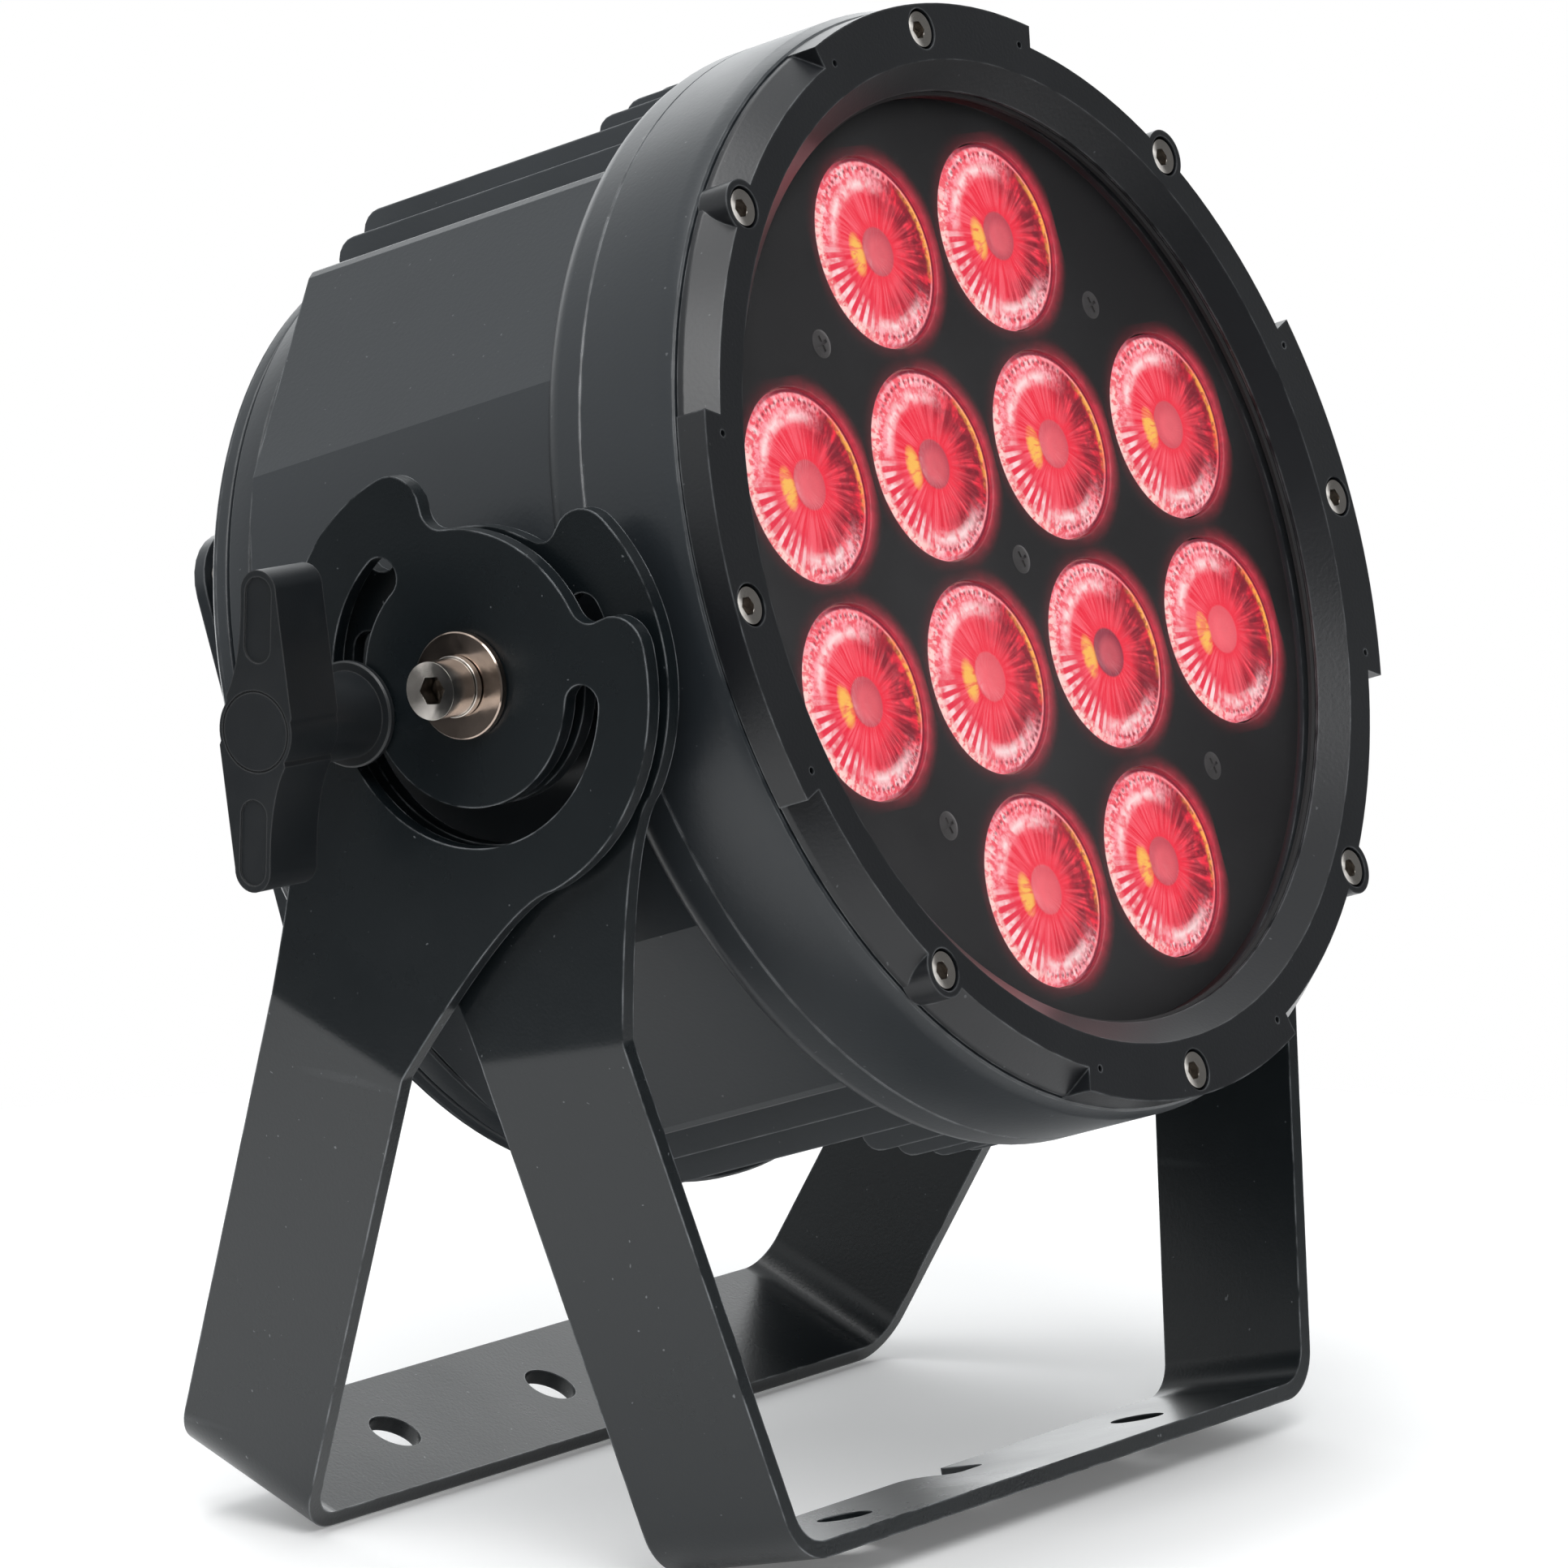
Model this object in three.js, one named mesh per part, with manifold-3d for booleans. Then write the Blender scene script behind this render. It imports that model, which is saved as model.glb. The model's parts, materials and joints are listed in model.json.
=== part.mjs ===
// A sealed LED par can on a double-yoke floor stand. Millimetres, +Z up, the lamp looks towards -Y.
// The origin is on the floor, under the middle of the object.
import * as THREE from 'three';
import { mergeVertices } from 'three/addons/utils/BufferGeometryUtils.js';
import Module from 'manifold-3d';

const wasm = await Module();
wasm.setup();

// ---- driving dimensions -------------------------------------------------------------------------
const GAP = 0.3;                      // running gap left between neighbouring pieces
const TILT = radians(18);             // how far the lamp looks up
const OUTER_LEAN = radians(23.7);     // the outer yoke leans back
const INNER_LEAN = radians(12.3);     // the inner yoke leans forward
const PIVOT_HEIGHT = 206.9;           // pivot axis above the floor
const PIVOT_Y = -12.93;               // puts the middle of the object's depth over the origin
const PIVOT_DEPTH = 63.3;             // pivot axis behind the bezel's face

const STRAP = 4;                      // steel thickness of both yokes
const STRAP_WIDTH = 40;
const BEND = 10;                      // inside radius of the foot bends
const DISC_RADIUS = 50;               // round head of each yoke arm
const CUT_RADIUS = 34.5;              // its cut-down top, between the two lobes
const SLOT_CENTRE = 32;               // radius of the arc slot about the pivot
const SLOT_HALF = 4.5;
const SLOT_REACH = radians(110);      // slot end centres, each side of the arm
const LOBE_END = radians(126);
const LOBE_FOOT = radians(145);
const NECK_START = radians(52);       // where the disc runs out into the arm
const CLEAR_HOLE = 4.3;               // M8 clearance radius
const FOOT_HOLE = 6.5;                // M12 clearance radius
const FOOT_PITCH = 62.5;
const NOTCH_END = 6.5;                // closed end of the slot, behind the crossbar's middle line
const NOTCH_FLARE = 7;                // radius of its one flared mouth corner

// For each yoke: the outside half width at the pivot, at the foot, and where the arm starts to lean in.
const OUTER = { half: 148.5, foot: 120.7, bend: 90, lean: OUTER_LEAN };
const INNER = { half: 141.0, foot: 110.3, bend: 84, lean: INNER_LEAN };

const BODY_RADIUS = 129.5;
const SHROUD_RADIUS = 131.7;
const SHROUD_END = 46.2;
const BODY_END = 133.4;
const CAVITY_RADIUS = 120;
const CAVITY_HALF_HEIGHT = 84;
const WEB_FRONT = 44;                 // solid wall between the optics and the rear chamber
const WEB_BACK = 52;
const CREASE = [112.8, 64.3];         // corners of the flat facet between the round side and the fins
const FACET_TOP = [74.6, 105.9];
const FIN_PITCH = 12.1;
const FIN_THICKNESS = 4;
const FIN_ROOT = 92;
const FIN_START = 48.5;
const SHORT_FIN_END = 69;
const SHORT_FIN_STEP = 104;
const FINS_EACH_SIDE = 6;
const SHORT_FINS_EACH_SIDE = 3;

const BEZEL_RADIUS = 130;
const BEZEL_DEPTH = 8;
const OPENING_RADIUS = 110.5;
const FACE_INNER = 116.5;
const CHAMFER_RADIUS = 124.5;
const PAD_HALF_ANGLE = radians(20);
const SCREW_CIRCLE = 124;
const GLASS_RADIUS = 116.9;
const GLASS_FRONT = 7.9;
const GLASS_BACK = 10.2;

const LENS_PITCH = 50.3;
const LENS_RADIUS = 22.4;
const PLATE_FRONT = 10.9;
const PLATE_BACK = 12.9;
const PLATE_SCREW_OFFSET = 56.3;
const LENS_BACK = 30.5;
const BOARD_FRONT = 30.9;
const BOARD_BACK = 32.5;

const STUD = { depth: PIVOT_DEPTH + 31.98, up: 1.1 };
const M8_RADIUS = 4;
const BOSS_RADIUS = 17;               // pivot boss on the housing's side
const PAD_INNER = 106;                // thick pad behind the boss, for the bolt and the stud
const WASHER = { radius: 12, thick: 2 };
const SPRING_RADIUS = 6.9;            // captive spring washer under the bolt head
const CAP_HEAD = { radius: 6.5, thick: 8.5, hex: 6 };
const FRICTION_RADIUS = 18;
const KNOB_TILT = radians(20);        // the wing's lean from the lamp's own vertical
const KNOB_TIP = 184;                 // outermost face of the knob, from the middle of the lamp
const WING_BACK = 167;
const HUB_RADIUS = 9.75;

const PANEL_FRONT = 159.1;
const FLANGE_FRONT = 169.3;
const PANEL_BACK = 172.5;
const PANEL_SCREW = [89, 44];
const DISPLAY = { half: 30, low: 8, high: 38 };
const BUTTON_TRAVEL = 1.5;
const BUTTON_PITCH = 17;
const GLAND_PLACES = [[-62, 20], [62, 20], [-62, -22], [62, -22]];
const VENT_Z = -34;
const LID_FOOT = 121;                 // radii of the rear cover's foot, neck and rearmost band
const LID_NECK = 112;
const LID_RADIUS = 115.2;
const LID_BAND_FRONT = 145;           // depths of its first band, of the groove and of its flat back
const LID_GROOVE = 152;
const LID_BACK = 158.8;
const POWER_BOX = { half: 72, front: 58, back: 124, low: -72, high: -12 };

const RING_SIDES = 52;                // facets on the big rounds
const LENS_SIDES = 18;
const SMALL_SIDES = 14;

function radians(degrees) {
  return THREE.MathUtils.degToRad(degrees);
}

// ---- solid modelling helpers --------------------------------------------------------------------

// A closed three.js geometry as a solid with its faces pointing out.
function solid(geometry) {
  const bare = geometry.clone();
  bare.deleteAttribute('normal');
  bare.deleteAttribute('uv');
  const merged = mergeVertices(bare, 1e-4);
  const position = merged.attributes.position;
  const corners = [0, 1, 2].map(() => new THREE.Vector3());
  const triangles = [];
  let volume = 0;
  for (let i = 0; i < merged.index.count; i += 3) {
    const [a, b, c] = [0, 1, 2].map((k) => merged.index.getX(i + k));
    if (a === b || b === c || c === a) continue;
    [a, b, c].forEach((vertex, k) => corners[k].fromBufferAttribute(position, vertex));
    volume += corners[0].dot(corners[1].clone().cross(corners[2]));
    triangles.push(a, b, c);
  }
  if (volume < 0) triangles.reverse();
  return new wasm.Manifold(new wasm.Mesh({
    numProp: 3,
    vertProperties: new Float32Array(position.array),
    triVerts: new Uint32Array(triangles),
  }));
}

// A solid back as a three.js geometry.
function geometryOf(body) {
  const { vertProperties, triVerts } = body.getMesh();
  const geometry = new THREE.BufferGeometry();
  geometry.setAttribute('position', new THREE.BufferAttribute(new Float32Array(vertProperties), 3));
  geometry.setIndex(new THREE.BufferAttribute(new Uint32Array(triVerts), 1));
  geometry.computeVertexNormals();
  return geometry;
}

function joined(bodies) {
  return bodies.reduce((sum, body) => sum.add(body));
}

function cutAll(body, tools) {
  return tools.reduce((rest, tool) => rest.subtract(tool), body);
}

// A turned piece about the lamp's own axis (Y). Each profile point is [radius, depth].
function turned(profile, sides = RING_SIDES) {
  const points = profile.map(([radius, depth]) => new THREE.Vector2(radius, depth));
  return solid(new THREE.LatheGeometry(points, sides));
}

// A closed ring profile: the first point is repeated at the end.
function ring(profile, sides = RING_SIDES) {
  return turned([...profile, profile[0]], sides);
}

// A round bar along Y from depth y0 to y1, centred on (x, z).
function barY(radius, y0, y1, x = 0, z = 0, sides = SMALL_SIDES) {
  const bar = new THREE.CylinderGeometry(radius, radius, y1 - y0, sides);
  return solid(bar.translate(x, (y0 + y1) / 2, z));
}

// A round bar along X from x0 to x1, centred on (y, z).
function barX(radius, x0, x1, y = 0, z = 0, sides = SMALL_SIDES) {
  const bar = new THREE.CylinderGeometry(radius, radius, Math.abs(x1 - x0), sides);
  return solid(bar.rotateZ(Math.PI / 2).translate((x0 + x1) / 2, y, z));
}

function box(x0, x1, y0, y1, z0, z1) {
  const block = new THREE.BoxGeometry(x1 - x0, y1 - y0, z1 - z0);
  return solid(block.translate((x0 + x1) / 2, (y0 + y1) / 2, (z0 + z1) / 2));
}

function extruded(shape, depth, curveSegments) {
  return new THREE.ExtrudeGeometry(shape, { depth, bevelEnabled: false, curveSegments });
}

// An outline drawn in X and Z, extruded along Y from y0 to y1.
function alongY(shape, y0, y1, curveSegments = 6) {
  return solid(extruded(shape, y1 - y0, curveSegments).rotateX(Math.PI / 2).translate(0, y1, 0));
}

// An outline drawn in Y and Z, extruded along X from x0 to x1.
function alongX(shape, x0, x1, curveSegments = 6) {
  const turn = new THREE.Matrix4().makeBasis(
    new THREE.Vector3(0, 1, 0), new THREE.Vector3(0, 0, 1), new THREE.Vector3(1, 0, 0));
  return solid(extruded(shape, x1 - x0, curveSegments).applyMatrix4(turn).translate(x0, 0, 0));
}

function polygon(points) {
  return new THREE.Shape(points.map(([x, y]) => new THREE.Vector2(x, y)));
}

function hexagon(acrossFlats) {
  const corner = acrossFlats / Math.sqrt(3);
  return polygon([0, 1, 2, 3, 4, 5].map((k) => {
    const angle = (k * Math.PI) / 3;
    return [corner * Math.cos(angle), corner * Math.sin(angle)];
  }));
}

function roundedRectangle(halfWidth, halfHeight, radius) {
  const shape = new THREE.Shape();
  const [w, h, r] = [halfWidth, halfHeight, radius];
  shape.moveTo(-w + r, -h);
  shape.lineTo(w - r, -h).absarc(w - r, -h + r, r, -Math.PI / 2, 0);
  shape.lineTo(w, h - r).absarc(w - r, h - r, r, 0, Math.PI / 2);
  shape.lineTo(-w + r, h).absarc(-w + r, h - r, r, Math.PI / 2, Math.PI);
  shape.lineTo(-w, -h + r).absarc(-w + r, -h + r, r, Math.PI, Math.PI * 1.5);
  return shape;
}

function material(color, roughness, metalness, more = {}) {
  return new THREE.MeshStandardMaterial({ color, roughness, metalness, ...more });
}

function piece(name, body, look) {
  const mesh = new THREE.Mesh(geometryOf(body), look());
  mesh.name = name;
  return mesh;
}

// ---- looks --------------------------------------------------------------------------------------
const castBlack = () => material(0x3c4043, 0.6, 0.35);
const steelBlack = () => material(0x2a2d30, 0.55, 0.4);
const stainless = () => material(0xb4ada4, 0.3, 1);
const blackRubber = () => material(0x151515, 0.85, 0);
const blackNylon = () => material(0x1f2226, 0.6, 0);
const clearGlass = () => material(0xdfe6e8, 0.05, 0, { transparent: true, opacity: 0.2 });
const redLens = () => material(0xf03048, 0.2, 0, { transparent: true, opacity: 0.85 });
const plateBlack = () => material(0x241f22, 0.6, 0.1);
const boardWhite = () => material(0xdedfd8, 0.6, 0);
const bareAluminium = () => material(0xa9abad, 0.4, 0.9);
const displayGlass = () => material(0x0b1a26, 0.15, 0);

// ---- the lamp, in its own axes: X across, Y behind the bezel's face, Z up in the face --------------

// One hollow casting: round shroud, body with round sides and upright fins above and below.
function housing() {
  const outside = turned([
    [0, BEZEL_DEPTH + GAP], [130.4, BEZEL_DEPTH + GAP], [SHROUD_RADIUS, 12],
    [SHROUD_RADIUS, 41], [131.1, 44.3], [BODY_RADIUS, SHROUD_END],
    [BODY_RADIUS, BODY_END - 1.8], [128, BODY_END], [0, BODY_END],
  ]);
  const optics = turned([
    [0, 0], [GLASS_RADIUS + GAP, 0], [GLASS_RADIUS + GAP, GLASS_BACK + GAP],
    [111, GLASS_BACK + GAP], [111, WEB_FRONT], [0, WEB_FRONT],
  ]);
  const chamber = turned([
    [0, WEB_BACK], [CAVITY_RADIUS, WEB_BACK], [CAVITY_RADIUS, BODY_END + 1], [0, BODY_END + 1],
  ]).intersect(box(-130, 130, WEB_BACK, BODY_END + 1, -CAVITY_HALF_HEIGHT, CAVITY_HALF_HEIGHT));
  const cuts = [optics, chamber];
  for (const up of [1, -1]) {
    cuts.push(...finGaps(up));
    for (const side of [1, -1]) cuts.push(facetCut(side, up));
  }
  const shell = cutAll(outside, cuts);
  const bosses = joined([1, -1].map(pivotBoss));
  const holes = [...pivotHoles(), ...bezelThreads()];
  return cutAll(shell.add(bosses), holes);
}

function facetCut(side, up) {
  const outline = [CREASE, FACET_TOP, [90, 125], [130, 90]].map(([x, z]) => [side * x, up * z]);
  return alongY(polygon(outline), SHROUD_END + GAP, BODY_END + 1);
}

// The spaces between the fins, and the step that makes the middle ones shorter.
function finGaps(up) {
  const [low, high] = up > 0 ? [FIN_ROOT, BODY_RADIUS + 5] : [-BODY_RADIUS - 5, -FIN_ROOT];
  const gaps = [];
  for (let k = -FINS_EACH_SIDE; k < FINS_EACH_SIDE; k += 1) {
    const left = k * FIN_PITCH + FIN_THICKNESS / 2;
    const right = (k + 1) * FIN_PITCH - FIN_THICKNESS / 2;
    gaps.push(box(left, right, FIN_START, BODY_END + 1, low, high));
  }
  const half = (SHORT_FINS_EACH_SIDE + 0.5) * FIN_PITCH;
  const [stepLow, stepHigh] = up > 0 ? [SHORT_FIN_STEP, high] : [low, -SHORT_FIN_STEP];
  gaps.push(box(-half, half, SHORT_FIN_END, BODY_END + 1, stepLow, stepHigh));
  return gaps;
}

// Round boss that the inner yoke bears on, and the thick pad behind it for the bolt and the stud.
function pivotBoss(side) {
  const reach = INNER.half - STRAP - GAP;
  const boss = barX(BOSS_RADIUS, side * 126, side * reach, PIVOT_DEPTH, 0, 24);
  const half = BOSS_RADIUS - 1;
  const pad = box(PAD_INNER, 121, PIVOT_DEPTH - BOSS_RADIUS - 1, STUD.depth + half, -half, half);
  return boss.add(side > 0 ? pad : pad.mirror([1, 0, 0]));
}

function pivotHoles() {
  return [1, -1].flatMap((side) => [
    barX(CLEAR_HOLE, side * (PAD_INNER + 3), side * INNER.half, PIVOT_DEPTH, 0),
    barX(CLEAR_HOLE, side * (PAD_INNER + 3), side * INNER.half, STUD.depth, STUD.up),
  ]);
}

function screwCircle() {
  return [...Array(8).keys()].map((k) => {
    const angle = (k * Math.PI) / 4;
    return [SCREW_CIRCLE * Math.sin(angle), SCREW_CIRCLE * Math.cos(angle)];
  });
}

function bezelThreads() {
  return screwCircle().map(([x, z]) => barY(2.7, BEZEL_DEPTH, 22, x, z, 8));
}

// Front ring: four flush pads, chamfered rim between them, a round lug at each diagonal screw.
function bezel() {
  const rim = ring([
    [OPENING_RADIUS, 5.3], [FACE_INNER, 0], [CHAMFER_RADIUS, 0], [BEZEL_RADIUS, 6.8],
    [BEZEL_RADIUS, BEZEL_DEPTH], [GLASS_RADIUS + GAP, BEZEL_DEPTH], [GLASS_RADIUS + GAP, 6],
    [OPENING_RADIUS, 6],
  ]);
  const full = ring([
    [119, 0], [BEZEL_RADIUS, 0], [BEZEL_RADIUS, BEZEL_DEPTH], [119, BEZEL_DEPTH],
  ]);
  const reach = 2 * BEZEL_RADIUS;
  const wedges = joined([0, 1, 2, 3].map((k) => {
    const [from, to] = [k * Math.PI / 2 - PAD_HALF_ANGLE, k * Math.PI / 2 + PAD_HALF_ANGLE];
    const outline = [[0, 0], [reach * Math.cos(from), reach * Math.sin(from)],
      [reach * Math.cos(to), reach * Math.sin(to)]];
    return alongY(polygon(outline), -1, BEZEL_DEPTH + 1);
  }));
  const lugs = screwCircle().filter((_, k) => k % 2 === 1)
    .map(([x, z]) => barY(6.5, 0, BEZEL_DEPTH, x, z, 18));
  const holes = screwCircle().flatMap(([x, z]) => [
    barY(4.8, -1, 5.4, x, z, 12), barY(2.7, 5, BEZEL_DEPTH + 1, x, z, 8),
  ]);
  return cutAll(joined([rim, full.intersect(wedges), ...lugs]), holes);
}

// Socket-head screw with its head forward, standing at (x, z).
function socketScrew([x, z]) {
  const head = barY(4.25, 0.4, 5.1, 0, 0, 12);
  const shank = barY(2.3, 4.6, 20, 0, 0, 8);
  const socket = alongY(hexagon(4), 0, 2.9);
  return head.add(shank).subtract(socket).translate([x, 0, z]);
}

function glassGasket() {
  return ring([[109.6, 6.3], [GLASS_RADIUS, 6.3], [GLASS_RADIUS, 7.6], [109.6, 7.6]]);
}

function frontGlass() {
  return turned([[0, GLASS_FRONT], [GLASS_RADIUS, GLASS_FRONT], [GLASS_RADIUS, GLASS_BACK],
    [0, GLASS_BACK]]);
}

// Four by four grid without its corners, row by row from the top.
function lensCentres() {
  const centres = [];
  for (let row = 0; row < 4; row += 1) {
    for (let column = 0; column < 4; column += 1) {
      const corner = (row === 0 || row === 3) && (column === 0 || column === 3);
      if (!corner) centres.push([(column - 1.5) * LENS_PITCH, (1.5 - row) * LENS_PITCH]);
    }
  }
  return centres;
}

function plateScrewCentres() {
  const q = PLATE_SCREW_OFFSET;
  return [[0, 0], [q, q], [q, -q], [-q, -q], [-q, q]];
}

function lensPlate() {
  const plate = barY(110.4, PLATE_FRONT, PLATE_BACK, 0, 0, RING_SIDES);
  const holes = lensCentres().map(([x, z]) => barY(LENS_RADIUS + 0.4, 10, 14, x, z, LENS_SIDES));
  const screwHoles = plateScrewCentres().flatMap(([x, z]) => [
    barY(1.9, 10, 14, x, z, 6), barY(3.7, 10, 12, x, z, 10),
  ]);
  return cutAll(plate, [...holes, ...screwHoles]);
}

// Collimator lens: shallow domed front, short rim, cone back to the emitter.
function lens([x, z]) {
  return turned([
    [0, 10.6], [LENS_RADIUS, 11.4], [LENS_RADIUS, 14], [8, LENS_BACK], [0, LENS_BACK],
  ], LENS_SIDES).translate([x, 0, z]);
}

function plateScrew([x, z]) {
  const head = barY(3.3, PLATE_FRONT - 0.2, 11.8, 0, 0, 10);
  const shank = barY(1.5, 11.5, 40, 0, 0, 6);
  const slots = box(-1.8, 1.8, 10, 11.3, -0.4, 0.4).add(box(-0.4, 0.4, 10, 11.3, -1.8, 1.8));
  return head.add(shank).subtract(slots).translate([x, 0, z]);
}

// Round board; its twelve emitter packages face the lenses.
function ledBoard() {
  const board = barY(104, BOARD_FRONT + 0.9, BOARD_BACK + 0.6, 0, 0, 36);
  const emitters = lensCentres().map(([x, z]) => (
    box(x - 3.5, x + 3.5, BOARD_FRONT, BOARD_FRONT + 1.2, z - 3.5, z + 3.5)
  ));
  const holes = plateScrewCentres().map(([x, z]) => barY(1.9, 30, 34, x, z, 6));
  return cutAll(joined([board, ...emitters]), holes);
}

function heatSpreader() {
  const disc = barY(108, BOARD_BACK + 0.9, WEB_FRONT - GAP, 0, 0, 36);
  return cutAll(disc, plateScrewCentres().map(([x, z]) => barY(1.9, 30, 41, x, z, 6)));
}

function powerSupply() {
  const { half, front, back, low, high } = POWER_BOX;
  const caseBody = box(-half, half, front, back, low, high);
  const terminals = box(-40, 40, back - 1, back + 5, -40, -24);
  return caseBody.add(terminals);
}

// Round lid: a wide foot on the body, a narrow neck, then two bands with a groove between them.
function rearCover() {
  const front = BODY_END + GAP;
  const lid = turned([
    [104, front], [LID_FOOT, front], [LID_FOOT, front + 2.9], [LID_NECK, front + 3.3],
    [LID_NECK, LID_BAND_FRONT], [LID_RADIUS + 1.2, LID_BAND_FRONT + 0.4],
    [LID_RADIUS + 1.2, LID_GROOVE], [LID_RADIUS - 1.6, LID_GROOVE + 0.5],
    [LID_RADIUS - 1.6, LID_GROOVE + 1.3], [LID_RADIUS, LID_GROOVE + 1.9],
    [LID_RADIUS, LID_BACK - 0.8], [LID_RADIUS - 0.8, LID_BACK], [0, LID_BACK],
    [0, LID_BACK - 3.2], [104, LID_BACK - 3.2], [104, front],
  ]);
  const wireHole = box(-20, 20, 150, 165, -48, -30);
  return lid.subtract(wireHole);
}

function panelScrewCentres() {
  const [x, z] = PANEL_SCREW;
  return [[-x, z], [x, z], [x, -z], [-x, -z]];
}

function buttonCentres() {
  return [-1.5, -0.5, 0.5, 1.5].map((k) => [k * BUTTON_PITCH, -6]);
}

// Rear control box with a wider flange whose ears take the dome-head screws.
function controlPanel() {
  const back = alongY(roundedRectangle(82, 48, 8), PANEL_FRONT, FLANGE_FRONT + 0.1);
  const flange = alongY(roundedRectangle(96, 55, 14), FLANGE_FRONT, PANEL_BACK);
  const { half, low, high } = DISPLAY;
  const window = box(-half, half, FLANGE_FRONT - GAP, PANEL_BACK + 1, low, high);
  const wells = buttonCentres().map(([x, z]) => barY(5.4, 166, PANEL_BACK + 1, x, z, 12));
  const glandHoles = GLAND_PLACES.map(([x, z]) => barY(9.4, 163, PANEL_BACK + 1, x, z, 12));
  const screws = panelScrewCentres().map(([x, z]) => barY(2.4, 165, 174, x, z, 8));
  const ventHole = barY(6.4, 166, 174, 0, VENT_Z, 16);
  return cutAll(back.add(flange), [window, ventHole, ...wells, ...glandHoles, ...screws]);
}

function display() {
  const [half, low, high] = [DISPLAY.half - 0.4, DISPLAY.low + 0.4, DISPLAY.high - 0.4];
  return box(-half, half, FLANGE_FRONT + 0.1, PANEL_BACK - 0.6, low, high);
}

function menuButton([x, z]) {
  return barY(5, 166.4 + BUTTON_TRAVEL, PANEL_BACK + 1.6, x, z, 12);
}

// Cable gland with its hexagon and domed nut; the mouth is a shallow dimple.
function gland([x, z]) {
  const body = barY(9, 163.4, PANEL_BACK + 0.4, 0, 0, 12);
  const collar = alongY(hexagon(22), PANEL_BACK + 0.3, 177.5);
  const nut = turned([[0, 177.4], [9.6, 177.4], [9.6, 182], [6.4, 186.5], [3.4, 186.5],
    [3.4, 184.5], [0, 184.5]], 12);
  return joined([body, collar, nut]).translate([x, 0, z]);
}

function ventPlug() {
  const stem = barY(6, 166.4, PANEL_BACK + 0.5, 0, VENT_Z, 16);
  return stem.add(barY(8, PANEL_BACK + GAP, PANEL_BACK + 3, 0, VENT_Z, 16));
}

// Dome-head screw entering the flange's ear from the lamp's side.
function panelScrew([x, z]) {
  const head = turned([[0, 166.2], [2.4, 166.6], [4, 168], [4, 169], [2, 169], [2, 172.4],
    [0, 172.4]], 12);
  return head.translate([x, 0, z]);
}

// Clamping knob: stud, hub and a two-ended wing, built on the -X side about the stud's axis.
function lockKnob() {
  const outerFace = OUTER.half;
  const stud = barX(M8_RADIUS, -111, -outerFace - 10, 0, 0, 16);
  const hub = barX(HUB_RADIUS, -outerFace - GAP, -WING_BACK - 1, 0, 0, 24);
  const skirt = barX(HUB_RADIUS + 2.25, -outerFace - GAP, -outerFace - 2.3, 0, 0, 24);
  const wing = alongX(wingOutline(), -KNOB_TIP, -WING_BACK, 5);
  return joined([stud, hub, skirt, wing]);
}

// Half-turn symmetric outline: a round boss with a lobe up and a lobe down.
// Each lobe runs straight off one side of the boss and necks in on the other.
function wingOutline() {
  const [boss, reach, tip] = [10, 31, 4.9];
  const shape = new THREE.Shape();
  for (const sign of [1, -1]) {
    const start = sign > 0 ? 0 : Math.PI;
    const neckEnd = [sign * 8.4, sign * 7];
    if (sign > 0) shape.moveTo(...neckEnd);
    else shape.lineTo(...neckEnd);
    shape.quadraticCurveTo(sign * 4.2, sign * 15, sign * tip, sign * reach);
    shape.absarc(0, sign * reach, tip, start, start + Math.PI, false);
    shape.lineTo(sign * -boss, sign * 4);
    shape.absarc(0, 0, boss, start + Math.PI * 0.9, start + Math.PI * 1.2, false);
  }
  return shape;
}

// ---- the pivot hardware, about the pivot axis, on the -X side -------------------------------------

// Socket-head pivot bolt with its captive spring washer.
function pivotBolt() {
  const seat = OUTER.half + GAP + WASHER.thick + GAP;
  const top = seat + 1.5 + CAP_HEAD.thick;
  const shank = barX(M8_RADIUS, -110, -seat - 1, 0, 0, 16);
  const spring = barX(SPRING_RADIUS, -seat, -seat - 2, 0, 0, 20);
  const head = barX(CAP_HEAD.radius, -seat - 1.5, -top, 0, 0, 20);
  const socket = alongX(hexagon(CAP_HEAD.hex), -top - 1, -top + 4);
  return joined([shank, spring, head]).subtract(socket);
}

function pivotWasher() {
  const face = OUTER.half + GAP;
  const disc = barX(WASHER.radius, -face, -face - WASHER.thick, 0, 0, 24);
  return disc.subtract(barX(CLEAR_HOLE, -face + 1, -face - WASHER.thick - 1));
}

// Friction ring between the two yoke plates.
function frictionRing() {
  const [from, to] = [INNER.half + GAP, OUTER.half - STRAP - GAP];
  const disc = barX(FRICTION_RADIUS, -from, -to, 0, 0, 24);
  return disc.subtract(barX(CLEAR_HOLE, -from + 1, -to - 1));
}

// ---- the yokes, hanging straight down from the pivot axis -----------------------------------------

// Drop from the pivot to the crossbar's underside, so that its lower edge meets the floor.
function drop(yoke) {
  return (PIVOT_HEIGHT - (STRAP_WIDTH / 2) * Math.sin(yoke.lean)) / Math.cos(yoke.lean);
}

// A point on a circle about the pivot; the angle is measured from straight down.
function polar(radius, angle) {
  return [radius * Math.sin(angle), -radius * Math.cos(angle)];
}

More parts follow.
